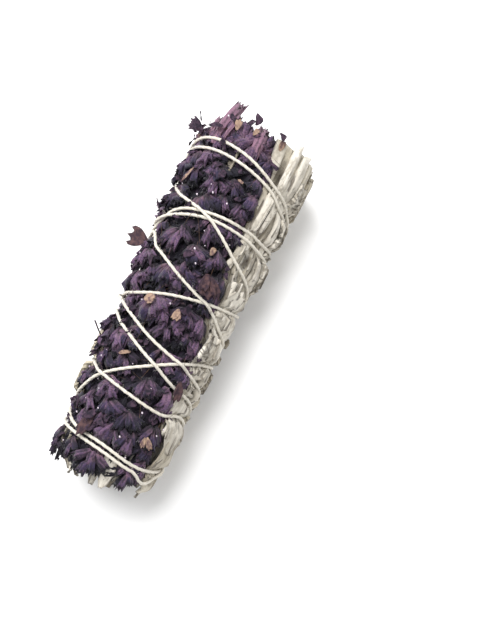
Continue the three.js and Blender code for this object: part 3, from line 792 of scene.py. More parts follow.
def fuzz_tree():
    """Short loose fibres that stand off a surface."""
    graph, given, made = geometry_tree(
        "cotton_fuzz",
        {
            "Density": "NodeSocketFloat",
            "Length": "NodeSocketFloat",
            "Thickness": "NodeSocketFloat",
            "Seed": "NodeSocketInt",
            "Material": "NodeSocketMaterial",
        },
    )
    inputs = {"Mesh": given.outputs["Geometry"], "Density": given.outputs["Density"]}
    inputs["Seed"] = given.outputs["Seed"]
    spots = graph.add("GeometryNodeDistributePointsOnFaces", None, inputs)
    start = graph.add("ShaderNodeCombineXYZ", None, {"Z": -0.1})
    middle = graph.add("ShaderNodeCombineXYZ", None, {"X": 0.35, "Z": 0.45})
    end = graph.add("ShaderNodeCombineXYZ", None, {"X": 0.9, "Z": 0.5})
    inputs = {"Resolution": 4, "Start": start, "Middle": middle, "End": end}
    bent = graph.add("GeometryNodeCurveQuadraticBezier", None, inputs)
    inputs = {"Resolution": 3, "Radius": given.outputs["Thickness"]}
    section = graph.add("GeometryNodeCurvePrimitiveCircle", {"mode": "RADIUS"}, inputs)
    inputs = {"Curve": bent, "Profile Curve": section, "Fill Caps": True}
    fibre = graph.add("GeometryNodeCurveToMesh", None, inputs)
    full_turn = (math.pi, math.pi, 2 * math.pi)
    inputs = {0: (-0.9, -0.9, 0.0), 1: full_turn, "Seed": given.outputs["Seed"]}
    any_turn = graph.add("FunctionNodeRandomValue", {"data_type": "FLOAT_VECTOR"}, inputs)
    own_turn = graph.add(
        "FunctionNodeRotateRotation",
        {"rotation_space": "LOCAL"},
        {"Rotation": spots.outputs["Rotation"], "Rotate By": any_turn},
    )
    length = graph.value(given, "Length")
    inputs = {2: 0.4, 3: 1.3, "Seed": given.outputs["Seed"]}
    share = graph.value(graph.add("FunctionNodeRandomValue", {"data_type": "FLOAT"}, inputs), 1)
    inputs = {"Points": spots.outputs["Points"], "Instance": fibre, "Rotation": own_turn}
    inputs["Scale"] = length * share
    copies = graph.add("GeometryNodeInstanceOnPoints", None, inputs)
    whole = graph.add("GeometryNodeRealizeInstances", None, {"Geometry": copies})
    inputs = {"Geometry": whole, "Material": given.outputs["Material"]}
    painted = graph.add("GeometryNodeSetMaterial", None, inputs)
    graph.set_input(made.inputs["Geometry"], painted)
    return graph


def flower_tree():
    """One of several calyces at every point, turned and sized by the point's own values."""
    graph, given, made = geometry_tree(
        "calyces_on_points", {"Calyces": "NodeSocketCollection", "Material": "NodeSocketMaterial"}
    )
    inputs = {0: given.outputs["Calyces"], "Separate Children": True, "Reset Children": True}
    kinds = graph.add("GeometryNodeCollectionInfo", None, inputs)
    own = {
        label: graph.add("GeometryNodeInputNamedAttribute", {"data_type": kind}, {"Name": label})
        for label, kind in (("turn", "FLOAT_VECTOR"), ("size", "FLOAT_VECTOR"), ("kind", "INT"))
    }
    turn = graph.add("FunctionNodeEulerToRotation", None, {0: own["turn"]})
    inputs = {
        "Points": given.outputs["Geometry"],
        "Instance": kinds,
        "Pick Instance": True,
        "Instance Index": own["kind"],
        "Rotation": turn,
        "Scale": own["size"],
    }
    copies = graph.add("GeometryNodeInstanceOnPoints", None, inputs)
    whole = graph.add("GeometryNodeRealizeInstances", None, {"Geometry": copies})
    inputs = {"Geometry": whole, "Material": given.outputs["Material"]}
    painted = graph.add("GeometryNodeSetMaterial", None, inputs)
    graph.set_input(made.inputs["Geometry"], painted)
    return graph


# Twine


KNOT_HALF_LENGTH = 0.62
KNOT_HALF_ANGLE = 0.034
KNOT_HEIGHT = 0.34
# How far each short end reaches along the stick and round it
TWINE_ENDS = ((-7, -0.2), (6.5, 0.3))


def twine_splines():
    """The centre lines of the wound twine, its knot and its two short ends."""
    x, angle, lift = COURSE
    lowest = radius_above(x, angle, TWINE_REST_HEIGHT)
    radius = np.minimum(bind_radius(x) + lift, lowest)
    lines = [(place(x, angle, radius), False)]
    lowest = radius_above(KNOT_PLACE, KNOT_ANGLE, TWINE_REST_HEIGHT)
    hub_radius = min(bind_radius(KNOT_PLACE), lowest) - 0.1
    turn = np.linspace(0, 2 * math.pi, 40, endpoint=False)
    loop_x = KNOT_PLACE + KNOT_HALF_LENGTH * (np.sin(turn) + 1.5 * np.sin(2 * turn))
    loop_angle = KNOT_ANGLE + KNOT_HALF_ANGLE * (np.cos(turn) - 1.5 * np.cos(2 * turn))
    loop_radius = hub_radius - KNOT_HEIGHT * np.sin(3 * turn)
    lines.append((place(loop_x, loop_angle, loop_radius), True))
    for reach, drift in TWINE_ENDS:
        share = np.linspace(0, 1, 12)
        tail_x = KNOT_PLACE + reach * share
        tail_angle = KNOT_ANGLE + drift * share**1.4
        low = radius_above(tail_x, tail_angle, TWINE_REST_HEIGHT)
        tail_radius = np.minimum(bind_radius(tail_x) + 0.3 * share, low)
        lines.append((place(tail_x, tail_angle, tail_radius), False))
    return lines


def curve_object(lines):
    curve = bpy.data.curves.new("twine_lines", "CURVE")
    curve.dimensions = "3D"
    for points, closed in lines:
        spline = curve.splines.new("POLY")
        spline.points.add(len(points) - 1)
        spline.points.foreach_set("co", np.c_[in_frame(points), np.ones(len(points))].ravel())
        spline.use_cyclic_u = closed
    return new_object("twine_lines", curve)


def lift_from_floor(mesh):
    """Keeps a finished mesh above the surface that the stick lies on."""
    points = np.zeros(3 * len(mesh.vertices), np.float32)
    mesh.vertices.foreach_get("co", points)
    points[2::3] = np.maximum(points[2::3], FLOOR_GAP * MM)
    mesh.vertices.foreach_set("co", points)


# Sage

# Shares of the neighbours in the evened middle line of a leaf
EVENING = (0.16, 0.22, 0.24, 0.22, 0.16)
# Heights of the leaves' undersides where they lie over each other on the surface below
FLOOR_LAYERS = (0.03, 0.45)
MIDRIB_DEPTH = 0.25
MIDRIB_HALF_WIDTH = 0.45
FURTHEST_BEND = 2.7


def stiff_line(x, angle, sink):
    """Radius along the middle of a stiff leaf, which bridges the small dips of the skin."""
    line = skin_radius(x, angle, SAGE_BULGE, sink)[:, 0]
    padded = np.pad(line, 2, mode="edge")
    evened = sum(padded[i : i + len(line)] * share for i, share in enumerate(EVENING))
    return evened[:, None]


def leaf_grid(middle, base, length, shape, rows=30, columns=13):
    """The outer surface of one dried leaf that lies along the stick, and its values.

    The shape gives its offset and drift round the stick, its half width, how far it is sunk, the
    flat share of it, and the radius of its bent edges, which rise or fall."""
    u = np.linspace(0, 1, rows)[:, None]
    v = np.linspace(-1, 1, columns)[None]
    seed = shape["seed"]
    x = base - length * u + 0 * v
    first = shape.get("cut", 0.12)
    blade = np.power(np.sin(math.pi * (first + (0.98 - first) * u)), shape.get("taper", 0.6))
    flat = np.stack([x, v * shape["half"] + 0 * u, 0 * x + seed % 97], axis=-1)
    ragged = 0.05 * rough(flat * [1, 0, 1], 3.2, seed) + 0.04 * rough(flat * [1, 0, 1], 1.1, seed)
    across = v * shape["half"] * blade * (1 + shape.get("ragged", 1.0) * ragged)
    bend = shape["bend"] * (1 + 0.35 * rough(flat * [1, 0, 0], 8, seed + 3))
    flat_part = shape["flat"] * shape["half"] * blade
    turn = np.minimum(np.maximum(np.abs(across) - flat_part, 0) / bend, FURTHEST_BEND)
    side = np.sign(across) * (np.minimum(np.abs(across), flat_part) + bend * np.sin(turn))
    lift = shape["rise"] * bend * (1 - np.cos(turn))
    sway = shape["offset"] + shape["drift"] * u + 0.03 * np.sin(3.1 * u + seed)
    angle = middle + twist(x) + sway + side / bind_radius(x)
    long_folds = 0.24 * rough(flat * [0.15, 1, 1], 1.5, seed + 1)
    crumple = rough(flat, 2.3, seed + 2) + 0.5 * rough(flat * [0.6, 1.6, 1], 1.0, seed + 4)
    wrinkle = long_folds + 0.22 * shape.get("crumple", 0.6) * crumple
    midrib = -MIDRIB_DEPTH * np.exp(-((across / MIDRIB_HALF_WIDTH) ** 2)) * blade
    line = stiff_line(x[:, :1], (middle + twist(x) + sway)[:, :1], shape["sink"])
    top = skin_radius(x, angle, SAGE_BULGE + 1.0, 0, NOTCH_REACH)
    top = np.minimum(top, radius_above(x, angle, between(*FLOOR_LAYERS, seed + 12)))
    radius = np.minimum(line - 0.2 + lift + wrinkle + midrib, top)
    tip = smooth(u, 0.9, 1.0) * between(-1.2, 0.6, seed + 9)
    tip = tip - shape.get("close", 0.0) * smooth(u, 0.5, 1.0)
    edge = np.maximum(smooth(np.abs(v), 0.55, 1.0), smooth(u, 0.94, 1.0)) + 0 * x
    return place(x, angle, radius + tip), edge


# How far rolled leaves stand above the binding, how flat they are pressed, how many turns they
# have, how far their tips dive and how thick their walls are
ROLL_RISE = 1.0
ROLL_FLATNESS = 0.78
ROLL_TURNS = 1.45
ROLL_DIVE = 2.4
ROLL_THICKNESS = 0.34


def rolled_grid(base, length, shape, rows=26, columns=26):
    """The surface of a leaf dried into a roll, from its outer edge to its inner one."""
    u = np.linspace(0, 1, rows)[:, None]
    v = np.linspace(0, 1, columns)[None]
    seed = shape["seed"]
    x = base - length * u + 0 * v
    size = shape["size"] * (1 - 0.35 * u**3) * (1 + 0.06 * np.sin(7 * u + seed))
    spiral = 2 * math.pi * (ROLL_TURNS * v) + seed
    thick = size * (1 - 0.42 * v)
    centre = shape["middle"] + twist(x) + shape["drift"] * u
    dive = ROLL_DIVE * smooth(u, 0.8, 1.0)
    height = bind_radius(x) + ROLL_RISE - ROLL_FLATNESS * size - dive
    flat = np.stack([x, thick * np.cos(spiral), thick * np.sin(spiral)], axis=-1)
    dent = 0.3 * rough(flat * [0.5, 1, 1], 1.6, seed) + 0.14 * rough(flat * [0.4, 1, 1], 0.9, seed)
    angle = centre + (thick + dent) * np.sin(spiral) / bind_radius(x)
    radius = height + ROLL_FLATNESS * (thick + dent) * np.cos(spiral)
    slant = 0.8 * np.cos(spiral) * (1 - smooth(u, 0, 0.08))
    ragged = 0.5 * rough(flat * [0, 1, 1], 0.8, seed + 4) * (1 - smooth(u, 0, 0.1))
    radius = np.minimum(radius, skin_radius(x, angle, SAGE_BULGE + 0.8, 0, NOTCH_REACH))
    layer = between(*FLOOR_LAYERS, seed + 12) + v
    radius = np.minimum(radius, radius_above(x, angle, layer))
    return place(x + slant + ragged, angle, radius), smooth(v, 0.0, -0.1) + 0 * x


LEAF_ROWS = [
    {"bases": [49, 21, -8], "lengths": [45, 48, 41]},
    {"bases": [47, 17, -4], "lengths": [50, 49, 45]},
]
# Where the rows of narrow leaves start, and how far that varies down and up
NARROW_ROWS = [(50.8, -2.2, 0.6), (20, -4, 6), (-8, -4, 6)]
# Place of the cut end, length, angle there and at the tip, and radius of each rolled leaf
ROLLED_LEAVES = [
    (51.2, 22, 49, 50, 1.5),
    (37.0, 27, 45, 36, 1.15),
    (50.8, 36, 66, 43, 1.75),
    (9.5, 13, 58, 55, 1.1),
    (8.5, 12, 49, 51, 0.95),
    (8.0, 14, 66, 69, 1.15),
    (49.5, 30, 84, 88, 1.6),
    (49.0, 32, 101, 97, 1.5),
    (2.0, 32, 76, 82, 1.4),
    (-14.0, 24, 62, 56, 1.3),
    (51.0, 42, 128, 120, 1.7),
    (50.0, 38, 187, 196, 1.6),
    (50.5, 40, 221, 228, 1.7),
    (49.5, 42, 255, 262, 1.6),
]
# Place of the base, length, angle, style and half width of leaves that lie on top
TOP_LEAVES = [
    (44, 17, 78, "crumpled", 4.6),
    (27, 15, 84, "crumpled", 4.2),
    (24, 13, 96, "blade", 4.4),
    (7, 14, 62, "blade", 4.8),
    (-6, 15, 58, "crumpled", 4.0),
    (-22, 17, 64, "blade", 4.2),
    (-36, 15, 72, "blade", 3.6),
    (-44.4, 9.4, 17, "blade", 2.2),
    (30, 24, 140, "blade", 4.4),
    (-2, 22, 122, "crumpled", 4.2),
    (12, 26, 215, "blade", 4.4),
    (36, 20, 245, "crumpled", 4.4),
    (-24, 22, 236, "blade", 4.2),
    (-12, 24, 262, "crumpled", 4.2),
]


def leaf_shape(style, seed, settings):
    """The shape of one leaf: a flat blade, a strip with its edges folded under, or a crumpled one."""
    shape = {"seed": seed, "offset": 0.0, "ragged": 1.0, "drift": between(-0.06, 0.06, seed + 1)}
    if style == "blade":
        shape.update(half=between(3.6, 4.8, seed + 2), sink=between(0.7, 1.4, seed + 3))
        shape.update(flat=0.6, bend=between(1.6, 2.6, seed + 4), rise=settings.curl, ragged=1.6)
    elif style == "folded":
        shape.update(half=between(2.0, 3.0, seed + 2), sink=between(-1.3, 0.8, seed + 3))
        shape.update(flat=0.2, bend=between(0.85, 1.25, seed + 4), rise=-1.0, ragged=0.5)
        shape.update(crumple=0.5)
    else:
        shape.update(half=between(2.2, 3.4, seed + 2), sink=between(-0.6, 0.4, seed + 3))
        shape.update(flat=0.3, bend=between(0.7, 1.1, seed + 4), rise=settings.curl)
        shape.update(crumple=2.6, ragged=2.6)
    return shape


def lay_leaf(shapes, settings, middle, base, length, shape, rows=32, columns=11):
    grid, edge = leaf_grid(middle, base, length, shape, rows, columns)
    tone = between(0, 1, shape["seed"] + 7)
    swirl = smooth(shape.get("crumple", 0.6), 1.0, 2.4)
    thickness = settings.thickness / MM + 0 * edge
    shapes.sheet(grid, thickness, tone=tone, edge=edge, swirl=swirl)


def lay_outer_sprig(k, settings, shapes):
    """The leaves of one cutting: a few broad ones below, and rows of narrow ones over them."""
    middle = cell_middle(OUTER_START, OUTER_ARC, OUTER_SPRIGS, k)
    rows = LEAF_ROWS[k % 2]
    for i, (base, length) in enumerate(zip(rows["bases"], rows["lengths"])):
        seed = 10 * k + i
        start = base + between(-1.5, 1.5, seed)
        shape = leaf_shape("blade", seed, settings)
        lay_leaf(shapes, settings, middle, start, length, shape, 30, 13)
    columns = settings.columns
    spread = OUTER_ARC / OUTER_SPRIGS
    for i in range(len(NARROW_ROWS) * columns):
        seed = 200 + 12 * k + i
        row, column = divmod(i, columns)
        style = "crumpled" if (i + 2 * k) % 5 == 4 else "folded"
        shape = leaf_shape(style, seed, settings)
        shape["offset"] = ((column + 0.5) / columns - 0.5) * spread + between(-0.04, 0.04, seed)
        if k == OUTER_SPRIGS - 1 and column > 0:
            shape["sink"] += 1.6 * column
        if k == 0:
            shape["sink"] += 0.9
        start, down, up = NARROW_ROWS[row]
        start = start + between(down, up, seed + 5)
        if row == 0:
            shape["cut"] = 0.36
        length = min(between(30, 46, seed + 6), start + 53)
        lay_leaf(shapes, settings, middle, start, length, shape)


def lay_chosen_leaves(first, last, settings, shapes):
    """The rolled leaves and the ones on top whose angle lies between two."""
    for base, length, start, end, size in ROLLED_LEAVES:
        if first <= start < last:
            angles = np.radians([start, end]) - twist(np.array([base, base - length]))
            shape = {"middle": angles[0], "drift": angles[1] - angles[0], "size": size}
            shape.update(seed=base + start)
            grid, edge = rolled_grid(base, length, shape)
            tone = between(0, 0.5, base + start)
            shapes.sheet(grid, ROLL_THICKNESS + 0 * edge, tone=tone, edge=edge)
    for base, length, degrees, style, half in TOP_LEAVES:
        if first <= degrees < last:
            seed = 900 + base + degrees
            shape = leaf_shape(style, seed, settings)
            shape.update(half=half, sink=-1.0 if base > -40 else 1.2, drift=0.0)
            if style == "crumpled":
                shape.update(crumple=2.6)
            middle = math.radians(degrees) - twist(base - 0.5 * length)
            lay_leaf(shapes, settings, middle, base, length, shape, 30, 17)


def lay_tips(settings, shapes):
    """The pale leaf tips that show beneath the flowers at the tip end."""
    for i in range(settings.tips):
        seed = 400 + i
        middle = SPRAY_START + (i + 0.5) * SPRAY_ARC / settings.tips
        shape = leaf_shape("crumpled", seed, settings)
        shape.update(sink=between(2.2, 5.4, seed + 3), half=between(2.0, 3.4, seed + 2), taper=0.8)
        lay_leaf(shapes, settings, middle, -38.5, between(12, 15.8, seed + 5), shape, 18, 11)


def crumpled_core(from_x, to_x, start, arc, seed, level):
    """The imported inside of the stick, a crumpled surface over an arc of it at a given level."""
    x = np.linspace(from_x, to_x, 70)[:, None]
    turn = np.linspace(0, 1, max(8, int(arc * 14)))[None]
    angle = start + arc * turn + twist(x)
    flat = np.stack([x + 0 * angle, angle * BIND_RADIUS, 0 * angle], axis=-1)
    crumple = 0.7 * rough(flat * [0.4, 1, 1], 3.0, seed) + 0.3 * rough(flat, 1.2, seed)
    ends = 1.6 * (smooth(x, from_x + 4, from_x) + smooth(x, to_x - 4, to_x))
    lowest = skin_radius(x + 0 * angle, angle, 0.5, 0.8)
    lowest = np.minimum(lowest, radius_above(x + 0 * angle, angle, 1.1))
    radius = np.minimum(level(x + 0 * angle, angle) + crumple - ends, lowest)
    return place(x + 0 * angle, angle, radius)


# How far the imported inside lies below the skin, and below that again under the flowers
CORE_SINK = 2.0
CORE_HOLLOW = 3.4


def sage_core_level(x, angle):
    """Below the sage leaves, and well below the flowers."""
    off = (angle - twist(x) - SPRAY_START) % (2 * math.pi)
    under_flowers = smooth(off, 0.0, 0.12) * smooth(off, SPRAY_ARC, SPRAY_ARC - 0.12)
    return skin_radius(x, angle, SAGE_BULGE, CORE_SINK) - CORE_HOLLOW * under_flowers


def statice_bed_level(x, _):
    """Below the flowers, alike all round."""
    return bind_radius(x) - 2.1 - 1.2 * smooth(x, -46, -52)


INNER_SHEETS = 150
INNER_SHEETS_RADIUS = 14.2
INNER_THICKNESS = 0.45
INNER_TIPS = 130
INNER_TIPS_RADIUS = 13.4
INNER_TIPS_BASE = -37


def lay_packing(settings, shapes):
    """Inner leaves, seen end on: curled ones between the cut stems and tips at the other end."""
    for i in range(INNER_SHEETS):
        seed = 600 + i
        radius = INNER_SHEETS_RADIUS * between(0.02, 1, seed) ** 0.38
        start = between(0, 2 * math.pi, seed + 1)
        arc = between(3, 8, seed + 2) / radius
        x = np.linspace(36, 49.2, 9)[:, None] + between(-2.5, 0.8, seed + 3)
        turn = np.linspace(0, 1, 16)[None]
        angle = start + arc * turn + 0 * x
        flat = np.stack([x + 0 * turn, radius * angle, 0 * angle], axis=-1)
        wave = 1.1 * rough(flat * [0.3, 1, 1], 1.8, seed) + between(-2.4, 2.4, seed + 4) * turn
        x = x + 0.6 * rough(flat * [0, 1, 1], 1.1, seed + 5)
        grid = place(x + 0 * turn, angle, np.maximum(radius + wave, 0.4))
        tone = between(0, 1, seed)
        shapes.sheet(grid, INNER_THICKNESS + 0 * angle, tone=tone, edge=0.2, swirl=0.3)
    for i in range(INNER_TIPS):
        seed = 800 + i
        radius = INNER_TIPS_RADIUS * math.sqrt(between(0.01, 1, seed))
        widen = BIND_RADIUS / radius
        shape = leaf_shape("crumpled", seed, settings)
        shape.update(half=between(1.3, 2.3, seed + 2) * widen, bend=1.3 * widen, taper=0.6)
        shape.update(sink=BIND_RADIUS - radius, rise=between(-1, 1, seed + 8) / widen, crumple=2.0)
        shape.update(close=between(0.1, 0.75, seed + 9) * min(radius, 6.5))
        length = between(9.5, 15.5, seed + 3) - 0.14 * radius
        middle = between(0, 2 * math.pi, seed + 1)
        lay_leaf(shapes, settings, middle, INNER_TIPS_BASE, length, shape, 18, 9)


# Stems

BARE_STEMS = 3
BARE_STEM_RING = 3.75
BARE_STEM_LENGTH = 92
INNER_STEMS = 3
INNER_STEM_RING = 8.9
INNER_STEM_RADIUS = 1.4
CUTTING_STEM_LENGTH = 12
SPRAY_STEM_RING = 12.4
SPRAY_STEM_RADIUS = 0.8
SPRAY_STEM_LENGTH = 6


def lay_stem(shapes, angle, ring_radius, radius, cut_end, length, seed):
    """A stem with rough bark, and a pale ring of wood round a sunk pith at its cut end."""
    along = np.concatenate([np.linspace(cut_end - length, cut_end - 0.35, 9), [cut_end] * 5])
    along[-1] -= 0.7
    along[-2] -= 0.65
    share = np.concatenate([np.linspace(0.85, 1, 9), [0.95, 0.8, 0.5, 0.42, 0.05]])
    pith = np.concatenate([np.zeros(9), [0.4, 0.55, 0.6, 0.95, 1.0]])
    sides = 20
    turn = np.linspace(0, 2 * math.pi, sides, endpoint=False)[None]
    centre = place(along, angle + twist(along), ring_radius)[:, None]
    bark = 1 + 0.06 * np.sin(3 * turn + seed) + 0.035 * np.sin(7 * turn + 2 * seed + along[:, None])
    size = radius * share[:, None] * bark
    slant = 0.35 * share[:, None] * np.cos(turn + seed) * (along[:, None] > cut_end - 1)
    offset = np.stack([slant + 0 * size, size * np.cos(turn), size * np.sin(turn)], axis=-1)
    shapes.tube(centre + offset, pith=pith)


# Statice

CALYX_RIBS = 5
RIB_DEPTH = 0.24
CALYX_BOW = 0.34
# How much a calyx is crumpled, the size of its crumples, how far above the binding its painted shade
# starts, and the places between which the painted shade ends at the cut end
CALYX_CRUMPLE = 0.42
CRUMPLE_SIZE = 1.3
UNSHADED_RISE = 1.5
UNSHADED_RANGE = (46, 42)


def calyx_mesh(name, profile, mouth, seed):
    """A unit calyx along +X: ribbed walls by a profile of lengths and radii, closed inside.

    The mouth gives how uneven its rim is."""
    sides = 2 * CALYX_RIBS
    turn = np.linspace(0, 2 * math.pi, sides, endpoint=False)
    rib = np.cos(CALYX_RIBS * turn)
    rings = []
    runs = np.array([along for along, _ in profile])
    uneven = between(-1, 1, seed + np.arange(sides) // 2)
    for along, radius in profile:
        size = radius * (1 + RIB_DEPTH * min(1, 3 * along) * rib)
        jag = mouth * smooth(along, 0.75, 1.0) * (rib + uneven)
        bow = -CALYX_BOW * along**2
        walls = [along + jag, size * np.sin(turn), 0.85 * size * np.cos(turn) + bow]
        rings.append(np.stack([wall + 0 * turn for wall in walls], -1))
    shapes = Shapes("along", "rib")
    grid = np.zeros((len(profile), sides))
    shapes.tube(np.array(rings), along=grid + runs[:, None], rib=grid + rib)
    mesh = bpy.data.meshes.new(name)
    mesh.from_pydata(np.vstack(shapes.points).tolist(), [], shapes.faces)
    for label, kept in shapes.values.items():
        store_values(mesh, label, np.concatenate(kept))
    return bpy.data.objects.new(name, mesh)


# Lengths and radii from the root to the mouth and on to the inside, and the rim's unevenness
CALYX_KINDS = {
    "calyx_1_bell": (
        [(0, 0.07), (0.1, 0.13), (0.28, 0.17), (0.5, 0.18), (0.74, 0.185), (0.96, 0.18), (0.8, 0.06)],
        0.08,
    ),
    "calyx_2_slim": (
        [(0, 0.06), (0.12, 0.1), (0.3, 0.13), (0.54, 0.145), (0.78, 0.15), (0.98, 0.14), (0.84, 0.05)],
        0.07,
    ),
    "calyx_3_open": (
        [(0, 0.04), (0.18, 0.09), (0.4, 0.14), (0.62, 0.17), (0.84, 0.2), (1, 0.2), (0.8, 0.07)],
        0.06,
    ),
    "calyx_4_flared": (
        [(0, 0.04), (0.2, 0.08), (0.42, 0.12), (0.65, 0.16), (0.86, 0.21), (1, 0.27), (0.75, 0.07)],
        0.07,
    ),
    "calyx_5_tube": (
        [(0, 0.07), (0.16, 0.1), (0.36, 0.12), (0.58, 0.13), (0.8, 0.135), (1, 0.12), (0.85, 0.05)],
        0.05,
    ),
}


def calyx_kinds():
    kinds = bpy.data.collections.new("calyx_kinds")
    for i, (name, (profile, mouth)) in enumerate(CALYX_KINDS.items()):
        kinds.objects.link(calyx_mesh(name, profile, mouth, 40 + 10 * i))
    return kinds


def facing(direction, outward):
    """Euler angles that turn +X to a direction and +Z as far outwards as that leaves."""
    ahead = Vector(direction).normalized()
    side = Vector(outward).cross(ahead).normalized()
    up = ahead.cross(side)
    return Matrix((ahead, side, up)).transposed().to_euler()


class Flowers:
    """Points that carry the calyces' places, turns, sizes, kinds and tones."""

    def __init__(self):
        self.points, self.turns, self.sizes, self.kinds, self.tones = [], [], [], [], []

    def fan(self, x, angle, depth, style, seed):
        """A fan of calyces from one root. The style gives count, length, spread, tilt and so on."""
        count = style["count"]
        ahead = style.get("heading", -1)
        outward = np.array([0, -math.sin(angle), math.cos(angle)])
        around = np.array([0, -math.cos(angle), -math.sin(angle)])
        for i in range(count):
            own = seed * 10 + i
            share = (i / (count - 1) - 0.5) if count > 1 else 0
            fan = share * style["spread"] + style.get("aside", 0) + between(-9, 9, own + 5)
            fan = math.radians(fan)
            rise = style["tilt"] + (1 - 4 * share * share) * style["dome"] + between(-7, 7, own + 3)
            rise = math.radians(rise)
            direction = np.array([ahead * math.cos(fan) * math.cos(rise), 0, 0])
            direction = direction + around * math.sin(fan) * math.cos(rise)
            direction = direction + outward * math.sin(rise)
            spot = x + between(-1.2, 1.2, own + 7)
            turn = angle + between(-0.05, 0.05, own + 8)
            length = style["length"] * between(0.78, 1.12, own)
            width = length * between(0.85, 1.25, own + 2) * style.get("girth", 1)
            self.points.append(place(spot, turn, bind_radius(spot) - depth))
            self.turns.append(facing(direction, outward))
            self.sizes.append((length, width, width))
            kinds = style["kinds"]
            self.kinds.append(kinds[int(between(0, len(kinds) - 0.001, own + 11))])
            tone = style.get("tone", 0) + between(0.1, 0.9, own + 13)
            self.tones.append(min(style.get("palest", 0.86), max(0, tone)))

    def mound(self, x, angle, length, tone, room, seed):
        """Calyces that bow out from one place in two tiers, like a small drooping umbrella.

        The room, up to 1, is how far they may spread sideways."""
        root = x + 0.45 * length
        open_ones = between(0, 1, seed + 2) > 0.75
        kinds = [2, 3, 2, 1] if open_ones else [0, 0, 1, 0, 2]
        aside = between(0, 26, seed + 3) * room - 8 * (1 - room)
        spread = 165 * (0.45 + 0.55 * room)
        # The lower tier gets a lower tone and the upper tier a higher one: painted shade under the
        # upper tier and painted light on top
        low = {"count": 7, "length": length, "spread": spread, "tilt": -6, "dome": 22}
        low.update(kinds=kinds, tone=tone - 0.22, girth=0.95, aside=aside)
        high = {"count": 5, "length": 0.9 * length, "spread": 0.62 * spread, "tilt": 16, "dome": 20}
        high.update(kinds=kinds, tone=tone + 0.16, girth=1.05, aside=aside)
        self.fan(root, angle, 2.4, low, seed)
        self.fan(root - 0.3, angle, 1.1, high, seed + 900)

    def point_object(self):
        mesh = bpy.data.meshes.new("calyx_points")
        mesh.from_pydata([tuple(p) for p in self.points], [], [])
        for name, kind, values, slot in (
            ("turn", "FLOAT_VECTOR", self.turns, "vector"),
            ("size", "FLOAT_VECTOR", self.sizes, "vector"),
            ("kind", "INT", self.kinds, "value"),
            ("tone", "FLOAT", self.tones, "value"),
        ):
            stored = mesh.attributes.new(name, kind, "POINT")
            stored.data.foreach_set(slot, np.array(values).ravel())
        return new_object("calyx_points", mesh)


def press_mesh(thing, bulge):
    """Crumples a mesh made in millimetres, presses it under the twine and puts it in the frame."""
    mesh = thing.data
    points = np.zeros(3 * len(mesh.vertices), np.float32)
    mesh.vertices.foreach_get("co", points)
    points = points.reshape(-1, 3).astype(float)
    shift = [rough(points, CRUMPLE_SIZE, 31 + axis) for axis in range(3)]
    points = pressed_in(points + CALYX_CRUMPLE * np.stack(shift, axis=-1), bulge)
    x, angle, radius = polar(points)
    proud = skin_radius(x, angle, bulge, 0, STATICE_REACH)
    proud = np.minimum(proud, bind_radius(x) + UNSHADED_RISE)
    # Depth below the flowers' surface, which the material turns into painted shade
    store_values(mesh, "depth", (proud - radius) * smooth(x, *UNSHADED_RANGE))
    points[:, 2] = np.maximum(points[:, 2], FLOOR_GAP)
    mesh.vertices.foreach_set("co", in_frame(points).astype(np.float32).ravel())
    turn_outwards(mesh)
    mesh.shade_smooth()


PLACE_TRIES = 60
# Places count as no emptier beyond this distance from others, or this one from the twine
ENOUGH_ROOM = 12.0
ENOUGH_CLEARANCE = 4


def open_places(count, seed, clearance, taken=()):
    """Irregular places over the flowers' side, each the emptiest of some chance ones.

    The clearance is how much a place gains by each millimetre that it is away from the twine."""
    places = [tuple(spot) for spot in taken]
    for i in range(count):
        tries = seed + 13.7 * i + 0.31 * np.arange(PLACE_TRIES)
        x = between(-49, 43.5, tries)
        turn = between(-0.22, SPRAY_ARC + 0.02, tries + 0.17)
        room = np.full(PLACE_TRIES, ENOUGH_ROOM)
        for other_x, other_turn in places:
            room = np.minimum(room, np.hypot(x - other_x, (turn - other_turn) * BIND_RADIUS))
        clear = np.minimum(TWINE_MAP.at(x, SPRAY_START + turn + twist(x)), ENOUGH_CLEARANCE)
        best = int(np.argmax(room + clearance * clear))
        places.append((float(x[best]), float(turn[best])))
    return places[len(taken) :]


FLOWER_PLACES = {}
# Mounds that hang over the tip end: place along the stick and turn from the first edge
TIP_MOUNDS = [(-49.0, 1.95), (-48.6, 1.2), (-48.0, 0.65), (-48.0, 0.1), (-45.5, 2.2)]
# Where a leaf lies over the flowers
LEAF_PLACES = [(-48.5, 1.58)]


def flower_places(settings):
    """The places of the mounds and of the single calyces between them, found once."""
    if not FLOWER_PLACES:
        mounds = TIP_MOUNDS + open_places(settings.mounds, 11, 0.8, TIP_MOUNDS + LEAF_PLACES)
        FLOWER_PLACES["mounds"] = mounds
        FLOWER_PLACES["singles"] = open_places(settings.singles, 500, 0.2, mounds + LEAF_PLACES)
    return FLOWER_PLACES


def spray_flowers(m, settings):
    """The calyces of one spray: mounds of drooping ones, and small ones in the gaps between."""
    flowers = Flowers()
    length = settings.length / MM
    width = SPRAY_ARC / SPRAYS
    places = flower_places(settings)
    for i, (x, turn) in enumerate(places["mounds"]):
        if min(SPRAYS - 1, max(0, int(turn / width))) == m:
            tone = between(-0.3, 0.34, 60 + i)
            size = length * between(0.8, 1.12, 160 + i) * (0.78 if x < -47 else 1)
            room = smooth(SPRAY_ARC - turn, 0, 0.35)
            flowers.mound(x, SPRAY_START + turn + twist(x), size, tone, room, 300 + i)
    # The small calyces in the gaps between the mounds get a low tone: painted shade between the mounds
    single = {"count": 3, "length": 0.62 * length, "spread": 120, "tilt": 6, "dome": 12}
    single.update(kinds=[1, 2, 3, 1], tone=-0.55)
    for i, (x, turn) in enumerate(places["singles"]):
        if min(SPRAYS - 1, max(0, int(turn / width))) == m:
            flowers.fan(x + 1, SPRAY_START + turn + twist(x), 2.6, single, 3000 + i)
    return flowers


